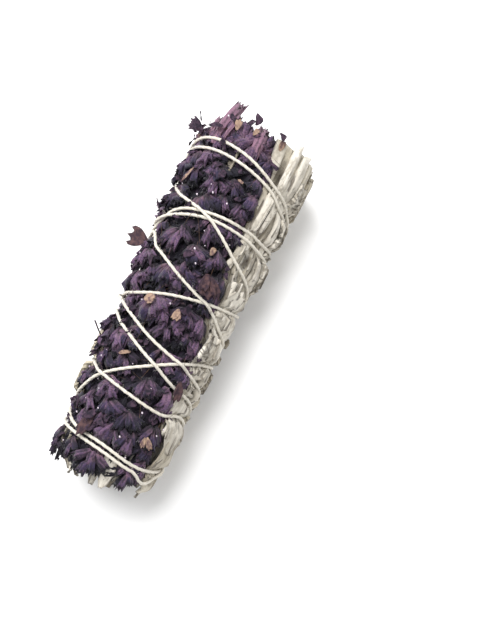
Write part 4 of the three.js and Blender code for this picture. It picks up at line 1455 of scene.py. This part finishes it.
# Place along the stick, turn from the first edge of the statice, length, heading sideways, tilt
# and girth of the long calyces at the cut end
CROWN_TUBES = [
    (42.0, 1.2, 13.4, -4, 8, 0.68),
    (41.5, 1.04, 11.0, -11, 4, 0.62),
    (43.0, 1.4, 8.5, 6, 12, 0.66),
    (40.0, 1.98, 11.5, 2, 9, 0.8),
    (40.5, 1.86, 9.0, -8, 4, 0.75),
    (42.5, 0.75, 7.5, -14, 6, 0.9),
]


def crown_flowers(settings):
    """The pinkish calyces that stick up at the cut end, a few of them long."""
    flowers = Flowers()
    for i, (x, turn, length, sideways, tilt, girth) in enumerate(CROWN_TUBES):
        style = {"count": 1, "length": length, "spread": 0, "tilt": tilt, "dome": 0, "heading": 1}
        style.update(kinds=[4], tone=0.9, palest=1.0, girth=girth, aside=sideways)
        flowers.fan(x, SPRAY_START + turn + twist(x), 0.6, style, 200 + i)
    for i in range(settings.crown_fans):
        seed = 230 + i
        turn = (i + between(0.2, 0.8, seed + 1)) * (SPRAY_ARC + 0.05) / settings.crown_fans
        x = between(42.5, 46, seed)
        style = {"count": 4, "length": between(3.6, 5.6, seed + 2), "spread": 120, "tilt": 12}
        style.update(dome=14, heading=1, kinds=[0, 1, 2, 1], girth=1.2)
        style.update(tone=between(-0.2, 0.6, seed + 3))
        flowers.fan(x, SPRAY_START + turn + twist(x), between(0.8, 3.0, seed + 4), style, seed)
    return flowers


FLAKE_THICKNESS = 0.14
SCALE_THICKNESS = 0.16


def scatter_bits(settings):
    """Thin stalks and hairs, dark bracts, gold papery flakes and pale specks among the flowers."""
    hairs, bracts, flakes, specks = Shapes(), Shapes(), Shapes(), Shapes()
    for i in range(settings.hairs):
        seed = 5000 + i
        x = between(-46, 50, seed)
        angle = between(SPRAY_START - 0.1, OUTER_START, seed + 1) + twist(x)
        share = np.linspace(0, 1, 7)
        heading = between(-1, 1, seed + 2)
        reach = between(4, 10, seed + 3)
        spot = x + reach * heading * share
        sway = angle + between(-0.35, 0.35, seed + 4) * share
        rise = between(0.5, 3.4, seed + 5) * share**1.5
        centres = place(spot, sway, bind_radius(spot) - 0.8 + rise)
        radii = np.linspace(0.1, 0.045, 7)
        hairs.tube(ring(centres, 5, radii, [[0, 1, 0]] * 7, [[0.3, 0, 1]] * 7))
    for i in range(settings.bracts):
        seed = 6000 + i
        x = between(-46, 51, seed)
        angle = between(SPRAY_START - 0.05, OUTER_START + 0.02, seed + 1) + twist(x)
        add_flake(bracts, x, angle, between(1.4, 3.2, seed + 2), between(0.2, 0.9, seed + 3), seed)
    for i in range(settings.flakes):
        seed = 7000 + i
        x = between(-44, 50, seed)
        angle = between(SPRAY_START + 0.3, OUTER_START, seed + 1) + twist(x)
        add_flake(flakes, x, angle, between(1.6, 2.8, seed + 2), between(0.5, 1.1, seed + 3), seed)
    for i in range(settings.specks):
        seed = 8000 + i
        x = between(-47, 50, seed)
        angle = between(SPRAY_START, OUTER_START + 0.05, seed + 1) + twist(x)
        size = between(0.14, 0.34, seed + 2)
        centre = place(x, angle, skin_radius(x, angle, 2.4) + 0.1)
        steps = np.array([-0.8, -0.3, 0.4, 0.9])
        centres = centre + steps[:, None] * size * np.array([1, 0.3, 0.2])
        radii = size * np.array([0.5, 0.95, 0.9, 0.4])
        specks.tube(ring(centres, 5, radii, [[0, 1, 0]] * 4, [[0, 0, 1]] * 4))
    return hairs, bracts, flakes, specks


def add_flake(shapes, x, angle, length, lift, seed):
    """A small pointed papery scale that stands off the flowers."""
    u = np.linspace(0, 1, 6)[:, None]
    v = np.linspace(-1, 1, 5)[None]
    heading = 1 if between(0, 1, seed + 5) > 0.7 else -1
    fan = between(-0.9, 0.9, seed + 6)
    width = 0.3 * length * np.sin(math.pi * (0.08 + 0.88 * u)) ** 0.8
    forward = length * u
    across = width * v + 0.15 * length * np.sin(4 * u + seed)
    spot = x + heading * (forward * math.cos(fan) - across * math.sin(fan))
    turn = angle + (forward * math.sin(fan) + across * math.cos(fan)) / bind_radius(x)
    cup = 0.35 * width * v**2 + 0.06 * length * np.sin(9 * u + 3 * v + seed)
    base = skin_radius(x, angle, 2.2) - 0.7
    grid = place(spot, turn, base + lift * forward + cup)
    shapes.sheet(grid, FLAKE_THICKNESS + 0 * across)


# Place along the stick, angle, length, width, heading from the cut end's direction, rise from the
# surface, and height of the root above the binding, of the scales that catch the eye
BROWN_SCALES = [
    (11.2, -70, 7.4, 5.6, -76, 56, -0.2),
    (6.8, 19, 6.4, 4.4, 158, 10, 1.5),
    (6.4, 23, 5.4, 2.6, 138, 6, 1.9),
    (6.6, 20, 4.6, 2.2, 176, 14, 1.9),
    (-21.0, 42, 5.2, 2.6, 172, 10, 1.4),
    (-37.0, -20, 7.5, 3.0, 188, 12, 0.9),
]
DARK_SCALES = [
    (45.0, -52, 6.0, 3.0, -50, 36, 0.5),
    (46.2, -56, 5.0, 2.6, -78, 34, 0.9),
    (44.8, -50, 4.4, 1.8, -30, 52, 0.8),
    (24.0, -72, 5.0, 1.2, 120, 30, 0.0),
    (-18.0, -70, 5.0, 3.0, 20, 52, 0.4),
]
PAPERY_SCALES = [
    (-3.8, -20, 2.6, 2.8, 150, 22, 1.5),
    (-4.6, -15, 2.4, 1.8, 190, 26, 1.7),
    (-4.8, 10, 3.4, 2.0, 172, 20, 1.6),
    (-5.4, 12, 3.0, 1.3, 200, 24, 1.8),
    (33.0, -36, 5.0, 1.0, 190, 14, 1.6),
    (-37.5, 36, 3.2, 1.6, 150, 18, 1.6),
    (-37.8, 34, 3.0, 1.2, 185, 24, 1.7),
    (46.5, -14, 3.0, 2.0, 10, 34, 0.4),
    (46.8, 2, 2.4, 1.4, 30, 40, 0.4),
    (46.5, 30, 3.0, 1.8, -12, 30, 0.3),
]


def add_scale(shapes, x, degrees, length, width, heading, rise, root, seed):
    """A veined papery scale that widens from its root to a ragged rim."""
    u = np.linspace(0, 1, 9)[:, None]
    v = np.linspace(-1, 1, 9)[None]
    half = 0.5 * width * (0.16 + 0.84 * np.sin(0.5 * math.pi * np.minimum(1.25 * u, 1)))
    ragged = 1 + 0.1 * np.cos(7 * v + seed) * smooth(u, 0.6, 1)
    ahead = length * u * ragged * (1 - 0.22 * v**2)
    across = half * v
    turn = math.radians(heading)
    steep = math.radians(rise)
    forward = ahead * math.cos(steep)
    pleats = 0.07 * width * np.cos(9 * v) * u + 0.3 * half * v**2
    up = ahead * math.sin(steep) - 0.05 * length * u**2 + pleats
    angle = math.radians(degrees)
    spot = x + forward * math.cos(turn) - across * math.sin(turn)
    around = angle + (forward * math.sin(turn) + across * math.cos(turn)) / bind_radius(x)
    grid = place(spot, around, bind_radius(spot) + root + up)
    shapes.sheet(grid, SCALE_THICKNESS + 0 * ahead)


# Settings


class TwineSettings(PropertyGroup):
    thickness: FloatProperty(
        name="Thickness", description="Thickness of the twine", default=0.00092, unit="LENGTH"
    )
    lay: FloatProperty(
        name="Lay", description="Length of one turn of its plies", default=0.0064, unit="LENGTH"
    )
    fuzz: FloatProperty(
        name="Fuzz", description="Loose fibres on a square metre", default=760000.0, min=0.0
    )
    colour: FloatVectorProperty(
        name="Colour", description="Clean cotton", default=rgb(220, 214, 202), subtype="COLOR"
    )


class SageSettings(PropertyGroup):
    thickness: FloatProperty(
        name="Leaf thickness", description="With its felt", default=0.0005, unit="LENGTH"
    )
    curl: FloatProperty(name="Curl", description="How far the edges roll up", default=1.0)
    columns: IntProperty(name="Columns", description="Narrow leaves side by side", default=3)
    tips: IntProperty(name="Tips", description="Leaf tips under the flowers", default=12)
    pale: FloatVectorProperty(
        name="Pale", description="The felted side", default=rgb(223, 217, 205), subtype="COLOR"
    )
    dark: FloatVectorProperty(
        name="Dark", description="Where the felt is worn", default=rgb(162, 154, 139), subtype="COLOR"
    )
    straw: FloatVectorProperty(
        name="Straw", description="Of the warmer leaves", default=rgb(212, 202, 180), subtype="COLOR"
    )


class StaticeSettings(PropertyGroup):
    length: FloatProperty(
        name="Calyx", description="Length of a calyx", default=0.0066, unit="LENGTH"
    )
    mounds: IntProperty(name="Mounds", description="Clusters of calyces", default=78)
    singles: IntProperty(name="Singles", description="Small groups in the gaps", default=90)
    crown_fans: IntProperty(name="Crown fans", description="Fans at the cut end", default=14)
    hairs: IntProperty(name="Hairs", description="Thin stalks and hairs", default=90)
    bracts: IntProperty(name="Bracts", description="Small dark scales", default=150)
    flakes: IntProperty(name="Flakes", description="Gold papery flakes", default=6)
    specks: IntProperty(name="Specks", description="Pale specks", default=60)
    base: FloatVectorProperty(
        name="Base", description="Of a calyx", default=rgb(116, 88, 102), subtype="COLOR"
    )
    body: FloatVectorProperty(
        name="Body", description="Of a calyx", default=rgb(53, 42, 74), subtype="COLOR"
    )
    mouth: FloatVectorProperty(
        name="Mouth", description="Its dark rim", default=rgb(22, 19, 38), subtype="COLOR"
    )
    pink: FloatVectorProperty(
        name="Pink", description="Of the lit ribs", default=rgb(106, 79, 110), subtype="COLOR"
    )
    fresh: FloatVectorProperty(
        name="Fresh", description="Of the palest ones", default=rgb(144, 108, 126), subtype="COLOR"
    )


class StageSettings(PropertyGroup):
    key: FloatProperty(name="Key light", description="In watts", default=4.8, unit="POWER")
    fill: FloatProperty(name="Fill light", description="In watts", default=0.5, unit="POWER")
    sky: FloatProperty(name="Sky", description="Strength of the even light", default=0.65)
    lens: FloatProperty(name="Lens", description="In millimetres", default=48.31)
    spot: FloatVectorProperty(
        name="Camera",
        description="Its place",
        default=(-0.05483, -0.04161, 0.2453),
        subtype="TRANSLATION",
        unit="LENGTH",
    )
    gaze: FloatVectorProperty(
        name="Gaze", description="Where it looks", default=(0.22908, 0.10455, -0.96778)
    )


# Operators

TWINE_STEP = 0.00042
TWINE_SIDES = 12
FUZZ_LENGTH = 0.0011
# As a share of their length
FUZZ_THICKNESS = 0.02
FUZZ_SEED = 5
# Name of a half of the sage, its first cutting and the one after its last, and the angles between
# which its rolled leaves and the ones on top lie
SAGE_HALVES = [
    ("sage_leaves_front", 0, 3, 0, 130),
    ("sage_leaves_under", 3, 7, 130, 300),
]
CORE_RANGE = (-45, 46)
BED_RANGE = (-49, 48)
BED_THICKNESS = 2.0
# Between the bed's edge and the sage, round the stick
BED_MARGIN = 0.04


class WindTwine(Operator):
    """Wind the cotton twine round the bundle and knot it"""

    bl_idname = "smudge.wind_twine"
    bl_label = "Wind the twine"

    def execute(self, context):
        settings = context.scene.smudge_twine
        cotton = cotton_material(settings)
        values = {
            "Thickness": settings.thickness,
            "Lay": settings.lay,
            "Step": TWINE_STEP,
            "Sides": TWINE_SIDES,
            "Material": cotton,
        }
        twine = run_tree(curve_object(twine_splines()), twine_tree(), values, "cotton_twine")
        twine.data.shade_smooth()
        values = {
            "Density": settings.fuzz,
            "Length": FUZZ_LENGTH,
            "Thickness": FUZZ_THICKNESS,
            "Seed": FUZZ_SEED,
            "Material": cotton,
        }
        base = new_object("fuzz_base", twine.data.copy())
        fuzz = run_tree(base, fuzz_tree(), values, "cotton_fuzz")
        for piece in (twine, fuzz):
            lift_from_floor(piece.data)
            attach(piece, "root")
        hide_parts("twine")
        return {"FINISHED"}


class LaySage(Operator):
    """Lay the dried sage leaves round the bundle"""

    bl_idname = "smudge.lay_sage"
    bl_label = "Lay the sage"

    def execute(self, context):
        settings = context.scene.smudge_sage
        felt = sage_material(settings)
        for name, first, last, start, end in SAGE_HALVES:
            leaves = Shapes("tone", "edge", "swirl", "depth")
            for k in range(first, last):
                lay_outer_sprig(k, settings, leaves)
            lay_chosen_leaves(start, end, settings, leaves)
            piece = leaves.piece(name, felt)
            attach(piece, "root")
            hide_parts(*(f"sage_sprig_{k + 1}" for k in range(first, last)))
        ends = Shapes("tone", "edge", "swirl", "depth")
        lay_tips(settings, ends)
        lay_packing(settings, ends)
        piece = ends.piece("sage_leaf_ends", felt)
        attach(piece, "root")
        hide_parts(*(f"sage_sprig_{k}" for k in (8, 9, 10)))
        core = Shapes()
        grid = crumpled_core(*CORE_RANGE, 0, 2 * math.pi, 3, sage_core_level)
        core.tube(grid[:, :-1])
        piece = core.piece("packed_inner_leaves", inner_material())
        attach(piece, "root")
        return {"FINISHED"}


class SetStems(Operator):
    """Set the cut stems in the middle of the bundle"""

    bl_idname = "smudge.set_stems"
    bl_label = "Set the stems"

    def execute(self, context):
        shapes = Shapes("pith")
        for i in range(BARE_STEMS):
            angle = math.radians(120 * i + 40)
            radius, cut_end = 2.9 - 0.45 * i, 50 + 0.9 * i
            lay_stem(shapes, angle, BARE_STEM_RING, radius, cut_end, BARE_STEM_LENGTH, i)
        for k in range(OUTER_SPRIGS):
            middle = cell_middle(OUTER_START, OUTER_ARC, OUTER_SPRIGS, k)
            radius = between(1.1, 2.2, k + 3)
            ring_radius = between(8.6, 11.4, k + 11)
            cut_end = between(47.5, 51.5, k + 7)
            lay_stem(shapes, middle, ring_radius, radius, cut_end, CUTTING_STEM_LENGTH, k)
        for k in range(INNER_STEMS):
            seed = 80 + 3 * k
            middle = cell_middle(SPRAY_START, SPRAY_ARC, INNER_STEMS, k)
            sizes = (INNER_STEM_RING, INNER_STEM_RADIUS, between(49, 51.5, seed))
            lay_stem(shapes, middle, *sizes, CUTTING_STEM_LENGTH, seed)
        for m in range(SPRAYS):
            middle = cell_middle(SPRAY_START, SPRAY_ARC, SPRAYS, m)
            sizes = (SPRAY_STEM_RING, SPRAY_STEM_RADIUS, between(49, 51.5, 60 + m))
            lay_stem(shapes, middle, *sizes, SPRAY_STEM_LENGTH, m)
        piece = shapes.piece("cut_stems", stem_material())
        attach(piece, "root")
        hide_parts("bare_stem_1", "bare_stem_2", "bare_stem_3")
        return {"FINISHED"}


class FillStatice(Operator):
    """Fill one side of the bundle with the statice flowers"""

    bl_idname = "smudge.fill_statice"
    bl_label = "Fill in the statice"

    def execute(self, context):
        settings = context.scene.smudge_statice
        petals = statice_material(settings)
        kinds = calyx_kinds()
        tree = flower_tree()
        groups = [(f"statice_calyces_{m + 1}", spray_flowers(m, settings)) for m in range(SPRAYS)]
        groups.append(("statice_crown", crown_flowers(settings)))
        for i, (name, flowers) in enumerate(groups):
            values = {"Calyces": kinds, "Material": petals}
            piece = run_tree(flowers.point_object(), tree, values, name)
            press_mesh(piece, STATICE_BULGE)
            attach(piece, "root")
            if i < SPRAYS:
                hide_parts(f"statice_spray_{i + 1}")
        for thing in list(kinds.objects):
            bpy.data.objects.remove(thing)
        bpy.data.collections.remove(kinds)
        # A near-black bed under the flowers, painted shade of the sprays' inside
        bed = Shapes()
        start, arc = SPRAY_START + BED_MARGIN, SPRAY_ARC - 2 * BED_MARGIN
        grid = crumpled_core(*BED_RANGE, start, arc, 9, statice_bed_level)
        bed.sheet(grid, BED_THICKNESS + 0 * grid[..., 0])
        piece = bed.piece("statice_bed", shaded_thicket_material())
        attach(piece, "root")
        return {"FINISHED"}


class ScatterBits(Operator):
    """Scatter stalks, bracts, papery flakes and specks among the flowers"""

    bl_idname = "smudge.scatter_bits"
    bl_label = "Scatter the loose bits"

    def execute(self, context):
        settings = context.scene.smudge_statice
        hairs, bracts, flakes, specks = scatter_bits(settings)
        brown = Shapes()
        for chosen, shapes in ((BROWN_SCALES, brown), (DARK_SCALES, bracts), (PAPERY_SCALES, flakes)):
            for i, scale in enumerate(chosen):
                add_scale(shapes, *scale, i)
        finishes = (
            (brown, "brown_bracts", rgb(52, 38, 47), rgb(90, 66, 66)),
            (hairs, "statice_stalks", rgb(58, 44, 40), rgb(104, 80, 66)),
            (bracts, "statice_bracts", rgb(34, 28, 40), rgb(78, 58, 74)),
            (flakes, "papery_flakes", rgb(164, 138, 118), rgb(100, 78, 80)),
            (specks, "pale_specks", rgb(226, 214, 224), rgb(188, 172, 186)),
        )
        for shapes, name, first, second in finishes:
            piece = shapes.piece(name, bits_material(name, first, second))
            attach(piece, "root")
        return {"FINISHED"}


FLOOR_REACH = 1.5
# Distances from the stick between which the floor starts to glow as white as the sky
GLOW_RANGE = (0.2, 0.75)
WHITE_GLOW = 1.04
# Size and place of each light, in metres, and where they both aim
KEY_LIGHT = (0.4, (0.12, 0.22, 0.55))
FILL_LIGHT = (0.5, (0.45, -0.35, 0.45))
LIGHT_AIM = (0, 0, 0.01)


def area_light(name, power, size, spot):
    data = bpy.data.lights.new(name, "AREA")
    data.energy, data.size = power, size
    light = new_object(name, data)
    light.location = spot
    light.rotation_euler = (Vector(LIGHT_AIM) - Vector(spot)).to_track_quat("-Z", "Y").to_euler()


class SetStage(Operator):
    """Set the pale floor, the lights and the camera"""

    bl_idname = "smudge.set_stage"
    bl_label = "Set the stage"

    def execute(self, context):
        settings = context.scene.smudge_stage
        scene = context.scene
        mesh = bpy.data.meshes.new("floor")
        signs = ((-1, -1), (1, -1), (1, 1), (-1, 1))
        corners = [(a * FLOOR_REACH, b * FLOOR_REACH, 0) for a, b in signs]
        mesh.from_pydata(corners, [], [(0, 1, 2, 3)])
        material, graph, shader, where = surface("pale_floor", 0.6)
        grain = graph.noise(where, 8, 2)
        colour = graph.blend(grain * 0.2, FLOOR_WHITE, FLOOR_GRAIN)
        graph.set_input(shader.inputs["Base Color"], colour)
        length = graph.add("ShaderNodeVectorMath", {"operation": "LENGTH"}, {0: where})
        far = graph.smooth_step(graph.value(length, "Value"), *GLOW_RANGE)
        glow = graph.blend(far * (WHITE_GLOW - settings.sky), (0, 0, 0), (1, 1, 1))
        graph.set_input(shader.inputs["Emission Color"], glow)
        shader.inputs["Emission Strength"].default_value = 1.0
        mesh.materials.append(material)
        floor = new_object("floor", mesh)

        world = bpy.data.worlds.new("even_light")
        world.use_nodes = True
        background = world.node_tree.nodes["Background"]
        background.inputs["Color"].default_value = (1, 1, 1, 1)
        graph = Graph(world.node_tree)
        seen = graph.value(graph.add("ShaderNodeLightPath"))
        graph.set_input(background.inputs["Strength"], seen * (1 - settings.sky) + settings.sky)
        scene.world = world
        area_light("key_light", settings.key, *KEY_LIGHT)
        area_light("fill_light", settings.fill, *FILL_LIGHT)

        data = bpy.data.cameras.new("camera")
        data.lens, data.sensor_width = settings.lens, 36
        data.clip_start, data.clip_end = 0.01, 20
        camera = new_object("camera", data)
        camera.location = settings.spot
        camera.rotation_euler = Vector(settings.gaze).to_track_quat("-Z", "Y").to_euler()
        scene.camera = camera
        scene.view_settings.view_transform = "Standard"
        return {"FINISHED"}


class SmudgePanel(Panel):
    bl_idname = "VIEW3D_PT_smudge_stick"
    bl_label = "Smudge Stick"
    bl_space_type = "VIEW_3D"
    bl_region_type = "UI"
    bl_category = "Smudge Stick"

    def draw(self, context):
        column = self.layout.column()
        for step in STEPS:
            column.operator(step.bl_idname)
        for group in SETTINGS:
            settings = getattr(context.scene, group)
            for label in settings.__annotations__:
                column.prop(settings, label)


STEPS = [WindTwine, LaySage, SetStems, FillStatice, ScatterBits, SetStage]
SETTINGS = {
    "smudge_twine": TwineSettings,
    "smudge_sage": SageSettings,
    "smudge_statice": StaticeSettings,
    "smudge_stage": StageSettings,
}


def register():
    for group, kind in SETTINGS.items():
        bpy.utils.register_class(kind)
        setattr(bpy.types.Scene, group, PointerProperty(type=kind))
    for kind in (*STEPS, SmudgePanel):
        bpy.utils.register_class(kind)


def unregister():
    for kind in reversed((*STEPS, SmudgePanel)):
        bpy.utils.unregister_class(kind)
    for group, kind in SETTINGS.items():
        delattr(bpy.types.Scene, group)
        bpy.utils.unregister_class(kind)


def main():
    """Registers the add-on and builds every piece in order."""
    register()
    for step in STEPS:
        group, action = step.bl_idname.split(".")
        getattr(getattr(bpy.ops, group), action)()


if __name__ == "__main__":
    main()
